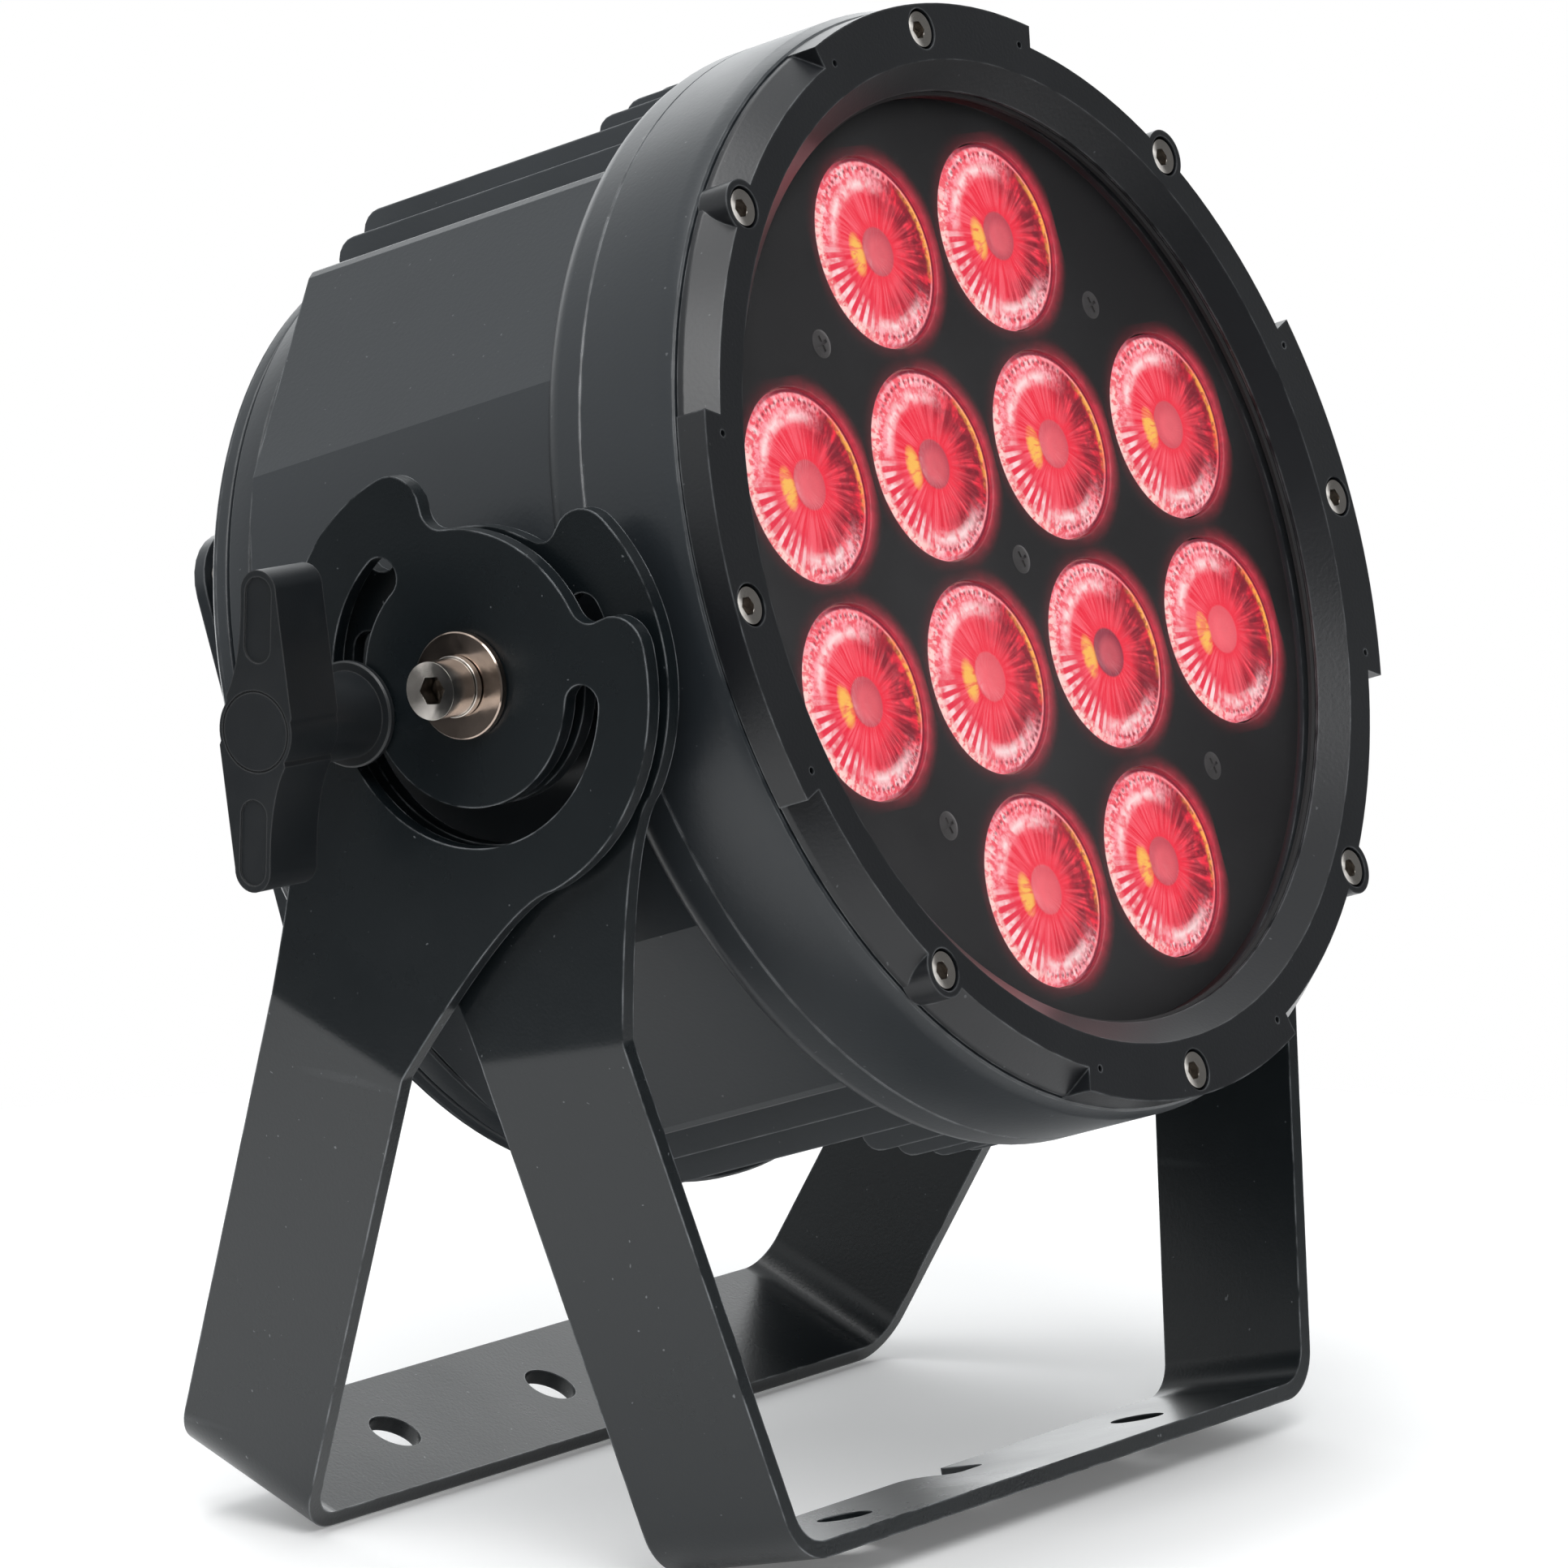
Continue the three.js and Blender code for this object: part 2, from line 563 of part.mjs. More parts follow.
// Round arm head with two lobes and a cut-down top, running out into the arm.
function armHead(yoke) {
  const half = STRAP_WIDTH / 2;
  const shape = new THREE.Shape();
  const up = Math.PI / 2;
  const [neckY, neckZ] = polar(DISC_RADIUS, NECK_START);
  const [lobeY, lobeZ] = polar(DISC_RADIUS + 1.5, LOBE_END + radians(7));
  const [footY, footZ] = polar(CUT_RADIUS, LOBE_FOOT);
  const [leftY, leftZ] = polar(DISC_RADIUS, -LOBE_END);
  const control = [neckY - 9.5, neckZ - 7.4];
  shape.moveTo(-half, -yoke.bend - 4);
  shape.lineTo(half, -yoke.bend - 4).lineTo(half, -yoke.bend);
  shape.quadraticCurveTo(control[0], control[1], neckY, neckZ);
  shape.absarc(0, 0, DISC_RADIUS, NECK_START - up, LOBE_END - up, false);
  shape.quadraticCurveTo(lobeY - 5, lobeZ + 2.5, footY, footZ);
  shape.absarc(0, 0, CUT_RADIUS, LOBE_FOOT - up, 3 * up - LOBE_FOOT, false);
  shape.quadraticCurveTo(-(lobeY - 5), lobeZ + 2.5, leftY, leftZ);
  shape.absarc(0, 0, DISC_RADIUS, 3 * up - LOBE_END, 3 * up - NECK_START, false);
  shape.quadraticCurveTo(-control[0], control[1], -half, -yoke.bend);
  shape.holes.push(arcSlot(), roundHole(CLEAR_HOLE));
  return shape;
}

function arcSlot() {
  const slot = new THREE.Path();
  const down = -Math.PI / 2;
  const [endY, endZ] = polar(SLOT_CENTRE, SLOT_REACH);
  const [from, to] = [down - SLOT_REACH, down + SLOT_REACH];
  slot.absarc(0, 0, SLOT_CENTRE + SLOT_HALF, from, down, false);
  slot.absarc(0, 0, SLOT_CENTRE + SLOT_HALF, down, to, false);
  slot.absarc(endY, endZ, SLOT_HALF, to, to + Math.PI, false);
  slot.absarc(0, 0, SLOT_CENTRE - SLOT_HALF, to, down, true);
  slot.absarc(0, 0, SLOT_CENTRE - SLOT_HALF, down, from, true);
  slot.absarc(-endY, endZ, SLOT_HALF, from + Math.PI, from + 2 * Math.PI, false);
  return slot;
}

function roundHole(radius) {
  return new THREE.Path().absarc(0, 0, radius, 0, 2 * Math.PI, false);
}

// Section of the bent strap across the object: upright at the pivot, leaning in to the crossbar.
function strapSection(yoke) {
  const [bottom, slope] = [-drop(yoke), Math.atan2(yoke.half - yoke.foot, drop(yoke) - yoke.bend)];
  const outline = (offset, radius) => {
    const [x, z] = [yoke.half - offset, bottom + offset];
    const toe = x - (yoke.half - yoke.foot);
    const centre = [toe - radius / Math.tan((Math.PI / 2 + slope) / 2), z + radius];
    return { x, centre, radius };
  };
  const [outer, inner] = [outline(0, BEND + STRAP), outline(STRAP, BEND)];
  const shape = new THREE.Shape();
  const down = -Math.PI / 2;
  shape.moveTo(outer.x, -yoke.bend + 6).lineTo(outer.x, -yoke.bend);
  shape.absarc(outer.centre[0], outer.centre[1], outer.radius, -slope, down, true);
  shape.absarc(-outer.centre[0], outer.centre[1], outer.radius, down, down * 2 + slope, true);
  shape.lineTo(-outer.x, -yoke.bend).lineTo(-outer.x, -yoke.bend + 6);
  shape.lineTo(-inner.x, -yoke.bend + 6).lineTo(-inner.x, -yoke.bend);
  shape.absarc(-inner.centre[0], inner.centre[1], inner.radius, down * 2 + slope, down, false);
  shape.absarc(inner.centre[0], inner.centre[1], inner.radius, down, -slope, false);
  shape.lineTo(inner.x, -yoke.bend).lineTo(inner.x, -yoke.bend + 6);
  return shape;
}

function yokeBody(yoke, footCuts) {
  const half = STRAP_WIDTH / 2;
  const strap = alongY(strapSection(yoke), -half, half, 4);
  const heads = [alongX(armHead(yoke), yoke.half - STRAP, yoke.half, 8),
    alongX(armHead(yoke), -yoke.half, -yoke.half + STRAP, 8)];
  return cutAll(joined([strap, ...heads]), footCuts);
}

// A vertical hole or slot tool through the crossbar.
function footHole(x, yoke) {
  const bar = new THREE.CylinderGeometry(FOOT_HOLE, FOOT_HOLE, 20, 16).rotateX(Math.PI / 2);
  return solid(bar.translate(x, 0, -drop(yoke)));
}

function outerYoke() {
  return yokeBody(OUTER, [-FOOT_PITCH, 0, FOOT_PITCH].map((x) => footHole(x, OUTER)));
}

// The inner crossbar has an open-ended slot in its back edge in place of a middle hole.
function innerYoke() {
  const half = STRAP_WIDTH / 2;
  const [left, right, corner] = [-FOOT_HOLE, FOOT_HOLE, 3];
  const mouth = new THREE.Shape();
  mouth.moveTo(left, half - NOTCH_FLARE);
  mouth.lineTo(left, NOTCH_END + corner);
  mouth.quadraticCurveTo(left, NOTCH_END, left + corner, NOTCH_END);
  mouth.lineTo(right - corner, NOTCH_END);
  mouth.quadraticCurveTo(right, NOTCH_END, right, NOTCH_END + corner);
  mouth.lineTo(right, half + 2).lineTo(left - NOTCH_FLARE, half + 2).lineTo(left - NOTCH_FLARE, half);
  mouth.quadraticCurveTo(left, half, left, half - NOTCH_FLARE);
  const notch = solid(extruded(mouth, 20, 4).translate(0, 0, -drop(INNER) - 10));
  return yokeBody(INNER, [notch, ...[-FOOT_PITCH, FOOT_PITCH].map((x) => footHole(x, INNER))]);
}

// ---- assembly -----------------------------------------------------------------------------------

function numbered(name, centres, make, look) {
  return centres.map((centre, k) => piece(`${name}_${k + 1}`, make(centre), look));
}

// The same piece on both ends of the pivot axis.
function bothSides(name, make, look) {
  const left = piece(`${name}_left`, make(), look);
  const right = piece(`${name}_right`, make(), look);
  right.rotation.z = Math.PI;
  return [left, right];
}

function lampPieces() {
  const glandNames = ['power_in_gland', 'power_out_gland', 'data_in_gland', 'data_out_gland'];
  return [
    piece('housing', housing(), castBlack),
    piece('bezel', bezel(), castBlack),
    piece('glass_gasket', glassGasket(), blackRubber),
    piece('front_glass', frontGlass(), clearGlass),
    piece('lens_plate', lensPlate(), plateBlack),
    ...numbered('lens', lensCentres(), lens, redLens),
    piece('led_board', ledBoard(), boardWhite),
    piece('heat_spreader', heatSpreader(), bareAluminium),
    piece('power_supply', powerSupply(), bareAluminium),
    piece('rear_cover', rearCover(), castBlack),
    piece('control_panel', controlPanel(), castBlack),
    piece('display', display(), displayGlass),
    ...numbered('menu_button', buttonCentres(), menuButton, blackRubber),
    ...GLAND_PLACES.map((centre, k) => piece(glandNames[k], gland(centre), blackNylon)),
    piece('vent_plug', ventPlug(), blackNylon),
    ...numbered('panel_screw', panelScrewCentres(), panelScrew, stainless),
    ...numbered('bezel_screw', screwCircle(), socketScrew, stainless),
    ...numbered('plate_screw', plateScrewCentres(), plateScrew, stainless),
  ];
}

const lamp = new THREE.Group();
lamp.position.y = -PIVOT_DEPTH;
lamp.add(...lampPieces());

const knobs = bothSides('lock_knob', lockKnob, blackNylon);
knobs.forEach((knob) => {
  knob.position.set(0, STUD.depth - PIVOT_DEPTH, STUD.up);
});
knobs[0].rotation.x = KNOB_TILT;
knobs[1].rotation.x = -KNOB_TILT;

const head = new THREE.Group();
head.rotation.x = -TILT;
head.add(lamp, ...knobs);
head.add(...bothSides('pivot_bolt', pivotBolt, stainless));
head.add(...bothSides('pivot_washer', pivotWasher, stainless));
head.add(...bothSides('friction_ring', frictionRing, blackNylon));

const outer = piece('outer_yoke', outerYoke(), steelBlack);
outer.rotation.x = OUTER_LEAN;

const inner = piece('inner_yoke', innerYoke(), steelBlack);
inner.rotation.x = -INNER_LEAN;

const group = new THREE.Group();
group.position.set(0, PIVOT_Y, PIVOT_HEIGHT);
group.add(inner, outer, head);

export default group;
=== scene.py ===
"""Looks of the par can light: fine meshes, procedural materials, camera and light."""

import json
import math

import bmesh
import bpy
from mathutils import Matrix, Vector


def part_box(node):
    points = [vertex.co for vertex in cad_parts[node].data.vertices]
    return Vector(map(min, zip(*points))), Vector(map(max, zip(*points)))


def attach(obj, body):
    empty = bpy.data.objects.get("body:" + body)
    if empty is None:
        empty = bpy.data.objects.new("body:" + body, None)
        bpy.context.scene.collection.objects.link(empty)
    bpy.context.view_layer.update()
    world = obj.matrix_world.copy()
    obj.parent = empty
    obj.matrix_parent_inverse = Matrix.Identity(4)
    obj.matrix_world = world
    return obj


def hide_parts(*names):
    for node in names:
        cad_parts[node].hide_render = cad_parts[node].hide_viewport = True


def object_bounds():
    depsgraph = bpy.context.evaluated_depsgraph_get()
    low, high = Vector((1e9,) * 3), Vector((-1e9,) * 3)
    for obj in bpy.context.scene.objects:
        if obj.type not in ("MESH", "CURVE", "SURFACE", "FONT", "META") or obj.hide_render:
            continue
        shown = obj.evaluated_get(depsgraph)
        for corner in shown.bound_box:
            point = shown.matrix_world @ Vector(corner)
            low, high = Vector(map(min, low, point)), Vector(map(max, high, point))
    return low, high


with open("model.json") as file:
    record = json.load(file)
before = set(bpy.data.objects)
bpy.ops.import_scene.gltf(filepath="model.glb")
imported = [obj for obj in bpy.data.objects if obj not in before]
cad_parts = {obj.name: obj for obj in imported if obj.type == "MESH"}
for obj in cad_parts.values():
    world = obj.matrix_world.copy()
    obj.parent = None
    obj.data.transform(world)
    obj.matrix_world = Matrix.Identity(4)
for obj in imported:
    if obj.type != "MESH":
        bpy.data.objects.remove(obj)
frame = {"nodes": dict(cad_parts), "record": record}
cad_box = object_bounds()

MM = 0.001
JOINTS = {joint["name"]: joint for joint in frame["record"]["behaviour"]["joints"]}
MOUNTS = {mount["name"]: mount for mount in frame["record"]["mounts"]}
SIDES = {"left": -1, "right": 1}

# ---- camera -------------------------------------------------------------------------------------
VIEW_AZIMUTH = -55.4
VIEW_ELEVATION = 8.53
LENS = 204.03
CAMERA_FROM_FACE = Vector((-1.7072, -1.1008, 0.2496))

# ---- driving dimensions, mm ---------------------------------------------------------------------
M8_RADIUS = 4
M8_CLEAR = 4.3
GAP = 0.3
BEZEL_RADIUS = 130
BEZEL_DEPTH = 8
OPENING_RADIUS = 110.5
FACE_INNER = 116.5
CHAMFER_RADIUS = 124.5
PAD_HALF_ANGLE = math.radians(20)
SCREW_CIRCLE = 124
SCREW_HEAD = {"radius": 4.25, "flats": 4.0, "top": 0.45, "socket_end": 3.24, "bottom": 5.1}
COUNTERBORE = {"radius": 4.9, "end": 5.4}
LUG_RADIUS = 6.5
PIN_RADIUS = 0.8
PIN_ANGLE = math.radians(18)

SHROUD_RADIUS = 131.7
SHROUD_END = 46.2
SEAM_DEPTH = 34
BODY_RADIUS = 129.5
BODY_END = 133.4
CREASE = (112.8, 64.3)
FACET_TOP = (74.6, 105.9)
FIN_PITCH = 12.1
FIN_THICKNESS = 4
FIN_ROOT = 92
FINS_EACH_SIDE = 6
SHORT_FINS_EACH_SIDE = 3
SHORT_FIN_END = 69
SHORT_FIN_STEP = 104

BOSS_RADIUS = 17
LID_SEAT = 104
LID_FOOT = 121
LID_NECK = 112
LID_RADIUS = 115.2
LID_BAND_FRONT = 145
LID_GROOVE = 152
LID_BACK = 158.8

PANEL_FRONT = 159.1
FLANGE_FRONT = 169.3
PANEL_BACK = 172.5
PANEL_HALF = (82, 48)
FLANGE_HALF = (96, 55)
PANEL_SCREWS = [(-89, 44), (89, 44), (89, -44), (-89, -44)]
SCREW_DOME = 4.0
BUTTON_RADIUS = 5.0
BUTTONS = [((k - 1.5) * 17, -6) for k in range(4)]
GLAND_RADIUS = 9.6
GLAND_RIBS = 18
GLANDS = {
    "power_in_gland": (-62, 20), "power_out_gland": (62, 20),
    "data_in_gland": (-62, -22), "data_out_gland": (62, -22),
}
VENT = (0, -34)
VENT_RADIUS = 6.6
DISPLAY = {"centre": (0, 23), "half": (30, 15)}

LENS_PITCH = 50.3
LENS_RADIUS = 22.4
LENS_FLUTES = 56
PLATE_FRONT = 10.9
PLATE_BACK = 12.9
PLATE_SCREW_OFFSET = 56.3
PLATE_SCREW_RADIUS = 3.4

KNOB_TILT = math.radians(20)
KNOB_TOP = 184
KNOB_WING_BACK = 167.2
HUB_RADIUS = 9.75
BOLT_HEAD = {"radius": 6.5, "flats": 6, "turn": 0.2, "height": 10, "socket": 5}
WASHER_RADIUS = 12
FRICTION_RADIUS = 18
SPRING_WASHER = {"outer": 6.9, "inner": 4.4, "top": 1.9}

STRAP = 4
STRAP_WIDTH = 40
DISC_RADIUS = 50
CUT_RADIUS = 34.5
LOBE_ANGLE = math.radians(127.8)
HEEL_ANGLE = math.radians(145.9)
LOBE_ROUND = 8
HEEL_ROUND = 5
SLOT_CENTRE = 32
SLOT_HALF = 4.5
SLOT_REACH = math.radians(110)
NECK_START = math.radians(52)
NECK_PULL = (-9.5, 7.4)
FOOT_HOLE = 6.5
FOOT_PITCH = 62.5
NOTCH_END = 6.5
NOTCH_FLARE = 7
YOKES = {
    "outer_yoke": {"foot": 120.7, "bend": 90, "mount": "outer_yoke_clamp_face"},
    "inner_yoke": {"foot": 110.3, "bend": 84, "mount": "inner_yoke_clamp_face"},
}
BEND_RADII = [14, 12, 12, 14]

ROUND = 160

# ---- studio -------------------------------------------------------------------------------------
FLOOR_RADIUS = 520
DIM_ROOM = 0.14
BACKDROP = 2.2
CEILING = 0.8
LIGHT_TARGET = Vector((0, 0, 0.2))


# ---- the frame's own axes -----------------------------------------------------------------------

def reach(node, direction):
    """How far a CAD node goes along a direction, in metres."""
    return max(vertex.co.dot(direction) for vertex in frame["nodes"][node].data.vertices)


def axes(x, y, z, origin):
    matrix = Matrix((x, y, z)).transposed().to_4x4()
    matrix.translation = origin
    return matrix


PIVOT = Vector(JOINTS["tilt_hinge"]["pos_m"])
STUD = Vector(JOINTS["left_knob_turn"]["pos_m"])
FORWARD = Vector(JOINTS["menu_button_1_press"]["axis"]).normalized()
ACROSS = Vector((1, 0, 0))
UPWARD = ACROSS.cross(-FORWARD)
PIVOT_DEPTH = reach("bezel", FORWARD) - PIVOT.dot(FORWARD)
FACE_CENTRE = PIVOT + PIVOT_DEPTH * FORWARD
HEAD = axes(ACROSS, -FORWARD, UPWARD, FACE_CENTRE)
YOKE_FACE = {name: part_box(name)[1].x / MM for name in YOKES}


def yoke_frame(name):
    """Axes of a yoke: Y across the strap, Z from the foot up to the pivot."""
    down = Vector(MOUNTS[YOKES[name]["mount"]]["axis"]).normalized()
    return axes(ACROSS, (-down).cross(ACROSS), -down, PIVOT)


def millimetres(matrix):
    """The same placing for a mesh that is still in millimetres."""
    placed = matrix.copy()
    placed.translation = matrix.translation / MM
    return placed


def yoke_drop(name):
    mount = MOUNTS[YOKES[name]["mount"]]
    return (Vector(mount["pos_m"]) - PIVOT).dot(Vector(mount["axis"]).normalized()) / MM


# ---- mesh helpers, in mm ------------------------------------------------------------------------

def arc(centre, radius, start, end, steps):
    """Points on an arc, both ends included."""
    return [
        (
            centre[0] + radius * math.cos(start + (end - start) * k / steps),
            centre[1] + radius * math.sin(start + (end - start) * k / steps),
        )
        for k in range(steps + 1)
    ]


def quadratic(start, control, end, steps):
    points = []
    for k in range(steps + 1):
        t = k / steps
        a, b, c = (1 - t) ** 2, 2 * t * (1 - t), t * t
        points.append(tuple(a * s + b * m + c * e for s, m, e in zip(start, control, end)))
    return points


def rounded(corners, radius, steps=5, closed=True):
    """A polygon with its corners rounded. A radius can be one number or one for each corner."""
    radii = radius if isinstance(radius, (list, tuple)) else [radius] * len(corners)
    points = []
    count = len(corners)
    for k, corner in enumerate(corners):
        here = Vector(corner)
        if radii[k] <= 0 or (not closed and k in (0, count - 1)):
            points.append(tuple(here))
            continue
        before = (Vector(corners[k - 1]) - here).normalized()
        after = (Vector(corners[(k + 1) % count]) - here).normalized()
        half = before.angle(after) / 2
        tangent = radii[k] / math.tan(half)
        points.extend(fillet(here, before, after, tangent, half, radii[k], steps))
    return points


def fillet(corner, before, after, tangent, half, radius, steps):
    """A true round between two straight edges that meet at a corner."""
    centre = corner + (before + after).normalized() * (radius / math.sin(half))
    first = corner + before * tangent - centre
    sweep = first.angle_signed(corner + after * tangent - centre)
    return [
        tuple(centre + Matrix.Rotation(-sweep * k / steps, 2) @ first)
        for k in range(steps + 1)
    ]


def revolve(bm, profile, sides=ROUND, closed=False, offset=(0, 0)):
    """Turns (radius, depth) points about the Y axis. Points on the axis make one vertex."""
    rings = []
    for radius, depth in profile:
        if radius < 1e-6:
            rings.append([bm.verts.new((offset[0], depth, offset[1]))])
            continue
        ring = []
        for k in range(sides):
            angle = 2 * math.pi * k / sides
            x = offset[0] + radius * math.sin(angle)
            z = offset[1] + radius * math.cos(angle)
            ring.append(bm.verts.new((x, depth, z)))
        rings.append(ring)
    pairs = list(zip(rings, rings[1:]))
    if closed:
        pairs.append((rings[-1], rings[0]))
    for one, two in pairs:
        bridge(bm, one, two)


def bridge(bm, one, two):
    sides = max(len(one), len(two))
    for k in range(sides):
        j = (k + 1) % sides
        if len(one) == 1 and len(two) == 1:
            return
        if len(one) == 1:
            bm.faces.new((one[0], two[k], two[j]))
        elif len(two) == 1:
            bm.faces.new((one[k], two[0], one[j]))
        else:
            bm.faces.new((one[k], two[k], two[j], one[j]))


def slab(bm, outline, holes, low, high, place):
    """A flat plate with holes. place turns (u, v, t) into a point."""
    edges = []
    for loop in [outline, *holes]:
        verts = [bm.verts.new(place(u, v, low)) for u, v in loop]
        edges.extend(bm.edges.new((a, b)) for a, b in zip(verts, verts[1:] + verts[:1]))
    filled = bmesh.ops.triangle_fill(bm, use_beauty=True, use_dissolve=False, edges=edges)
    faces = [item for item in filled["geom"] if isinstance(item, bmesh.types.BMFace)]
    raised = bmesh.ops.extrude_face_region(bm, geom=faces)
    shift = Vector(place(0, 0, high)) - Vector(place(0, 0, low))
    verts = [item for item in raised["geom"] if isinstance(item, bmesh.types.BMVert)]
    bmesh.ops.translate(bm, vec=shift, verts=verts)


def along_y(u, v, t):
    return (u, t, v)


def along_x(u, v, t):
    return (t, u, v)


def turned(point, angle):
    """A point turned about the middle."""
    u, v = point
    return (u * math.cos(angle) - v * math.sin(angle), u * math.sin(angle) + v * math.cos(angle))


def circle(radius, centre=(0, 0), sides=32):
    return arc(centre, radius, 0, 2 * math.pi * (1 - 1 / sides), sides - 1)


def hexagon(flats, turn=0.0):
    """Six corners, from the width across the flats."""
    corner = flats / math.sqrt(3)
    return [turned((corner, 0), turn + k * math.pi / 3) for k in range(6)]


def object_from(name, bm, matrix):
    """A finished mesh object; vertices go from mm in its own axes to metres."""
    bmesh.ops.recalc_face_normals(bm, faces=bm.faces)
    bmesh.ops.scale(bm, vec=(MM, MM, MM), verts=bm.verts)
    mesh = bpy.data.meshes.new(name)
    bm.to_mesh(mesh)
    bm.free()
    obj = bpy.data.objects.new(name, mesh)
    bpy.context.scene.collection.objects.link(obj)
    obj.matrix_world = matrix
    return obj


def apply_modifiers(obj):
    bpy.context.view_layer.update()
    graph = bpy.context.evaluated_depsgraph_get()
    mesh = bpy.data.meshes.new_from_object(obj.evaluated_get(graph))
    obj.modifiers.clear()
    obj.data = mesh


def cut(obj, tool_bm, union=False):
    """Boolean of an object with a tool given in the object's own mm."""
    tool = object_from("tool", tool_bm, obj.matrix_world)
    modifier = obj.modifiers.new("cut", "BOOLEAN")
    modifier.operation = "UNION" if union else "DIFFERENCE"
    modifier.solver = "EXACT"
    modifier.use_self = True
    modifier.object = tool
    apply_modifiers(obj)
    bpy.data.objects.remove(tool)


def soften(obj, width, segments=2, angle=35):
    """Rounds the edges that are sharper than angle and shades the rest smoothly."""
    obj.data.shade_smooth()
    if width:
        modifier = obj.modifiers.new("edges", "BEVEL")
        modifier.width = width * MM
        modifier.segments = segments
        modifier.limit_method = "ANGLE"
        modifier.angle_limit = math.radians(angle)
        modifier.harden_normals = True
        modifier.use_clamp_overlap = True
    weighted = obj.modifiers.new("normals", "WEIGHTED_NORMAL")
    weighted.keep_sharp = True
    weighted.weight = 100
    return obj


def shade_round(obj, angle):
    """Smooth shading, sharp only where the surface turns by more than angle."""
    soften(obj, 0)
    obj.data.set_sharp_from_angle(angle=math.radians(angle))
    return obj


def finish_piece(obj, look, body, *replaces):
    """Look, body and the CAD nodes that a piece stands for."""
    obj.data.materials.clear()
    obj.data.materials.append(LOOKS[look])
    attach(obj, body)
    if replaces:
        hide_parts(*replaces)
    return obj


# ---- materials ----------------------------------------------------------------------------------

def new_look(name, base, roughness, metallic=0.0):
    look = bpy.data.materials.new(name)
    look.use_nodes = True
    shader = look.node_tree.nodes["Principled BSDF"]
    shader.inputs["Base Color"].default_value = (*base, 1)
    shader.inputs["Roughness"].default_value = roughness
    shader.inputs["Metallic"].default_value = metallic
    return look, look.node_tree, shader


def add(tree, kind, values=None, **settings):
    """A new node with its settings and socket values; a socket value may be another node's output."""
    made = tree.nodes.new("ShaderNode" + kind)
    for key, value in settings.items():
        setattr(made, key, value)
    for key, value in (values or {}).items():
        if isinstance(value, bpy.types.NodeSocket):
            tree.links.new(value, made.inputs[key])
        else:
            made.inputs[key].default_value = value
    return made


def maths(tree, operation, a, b=0.0):
    return add(tree, "Math", {0: a, 1: b}, operation=operation).outputs[0]


def spread(tree, value, low, high, to_low=0.0, to_high=1.0):
    """Maps a range of a value onto another range, clamped at both ends."""
    values = {"Value": value, "From Min": low, "From Max": high, "To Min": to_low, "To Max": to_high}
    return add(tree, "MapRange", values).outputs[0]


def mixed(tree, factor, one, two):
    """Colour mix; the colours are tuples or sockets."""
    values = {0: factor, 6: one, 7: two}
    for key in (6, 7):
        if isinstance(values[key], tuple) and len(values[key]) == 3:
            values[key] = (*values[key], 1)
    return add(tree, "Mix", values, data_type="RGBA").outputs[2]


def noise(tree, scale, detail=2.0, stretch=(1, 1, 1), rough=0.5):
    coord = add(tree, "TexCoord").outputs["Object"]
    if stretch != (1, 1, 1):
        coord = add(tree, "Mapping", {"Vector": coord, "Scale": stretch}).outputs[0]
    values = {"Vector": coord, "Scale": scale, "Detail": detail, "Roughness": rough}
    return add(tree, "TexNoise", values).outputs[0]


def edge_wear_and_highlight(tree, radius, low=0.01, high=0.12):
    """1 on convex edges, 0 on flats; the mask for edges painted paler, partly as wear and partly as painted
    edge highlight.
    """
    round_normal = add(tree, "Bevel", {"Radius": radius}, samples=4).outputs[0]
    true_normal = add(tree, "NewGeometry").outputs["Normal"]
    turn = add(tree, "VectorMath", {0: round_normal, 1: true_normal}, operation="DOT_PRODUCT")
    return spread(tree, maths(tree, "SUBTRACT", 1.0, turn.outputs["Value"]), low, high)


def bump(tree, shader, height, strength, distance):
    values = {"Height": height, "Strength": strength, "Distance": distance}
    tree.links.new(add(tree, "Bump", values).outputs[0], shader.inputs["Normal"])


def powder_coat(name, base, worn_and_highlit, roughness, grain=900.0, depth=0.00006):
    """Satin powder coat: fine orange peel, cloudy gloss, dust specks, and edges painted paler, partly as
    rubbed wear and partly as painted edge highlight.
    """
    look, tree, shader = new_look(name, base, roughness)
    cloud = noise(tree, 16, 5, rough=0.6)
    # Convex edges painted paler: partly rubbed wear, partly painted edge highlight.
    rubbed_and_highlit_edges = maths(tree, "MULTIPLY", edge_wear_and_highlight(tree, 0.0007), spread(tree, noise(tree, 140, 4), 0.36, 0.60))
    specks = spread(tree, noise(tree, 620, 1), 0.775, 0.81, 0, 0.3)
    scratch = spread(tree, noise(tree, 70, 2, (1, 0.06, 1.3)), 0.72, 0.80, 0, 0.08)
    tone = mixed(tree, spread(tree, cloud, 0.3, 0.7), base, tuple(c * 1.16 for c in base))
    rub_and_highlight_marks = maths(tree, "MULTIPLY", rubbed_and_highlit_edges, 0.7)
    marks = maths(tree, "ADD", maths(tree, "MAXIMUM", specks, scratch), rub_and_highlight_marks)
    tree.links.new(mixed(tree, marks, tone, worn_and_highlit), shader.inputs["Base Color"])
    gloss = spread(tree, cloud, 0.25, 0.75, roughness - 0.05, roughness + 0.06)
    tree.links.new(gloss, shader.inputs["Roughness"])
    bump(tree, shader, noise(tree, grain, 2), 0.5, depth)
    return look


def turned_steel(name, base, roughness):
    """Stainless hardware: fine turning marks, a little grime in the tone."""
    look, tree, shader = new_look(name, base, roughness, 1.0)
    grime = spread(tree, noise(tree, 180, 3), 0.35, 0.75)
    tree.links.new(mixed(tree, grime, base, tuple(c * 0.8 for c in base)), shader.inputs["Base Color"])
    rough = spread(tree, noise(tree, 300, 2), 0.3, 0.7, roughness - 0.04, roughness + 0.06)
    tree.links.new(rough, shader.inputs["Roughness"])
    bump(tree, shader, noise(tree, 900, 1, (1, 0.1, 1)), 0.25, 0.00001)
    return look


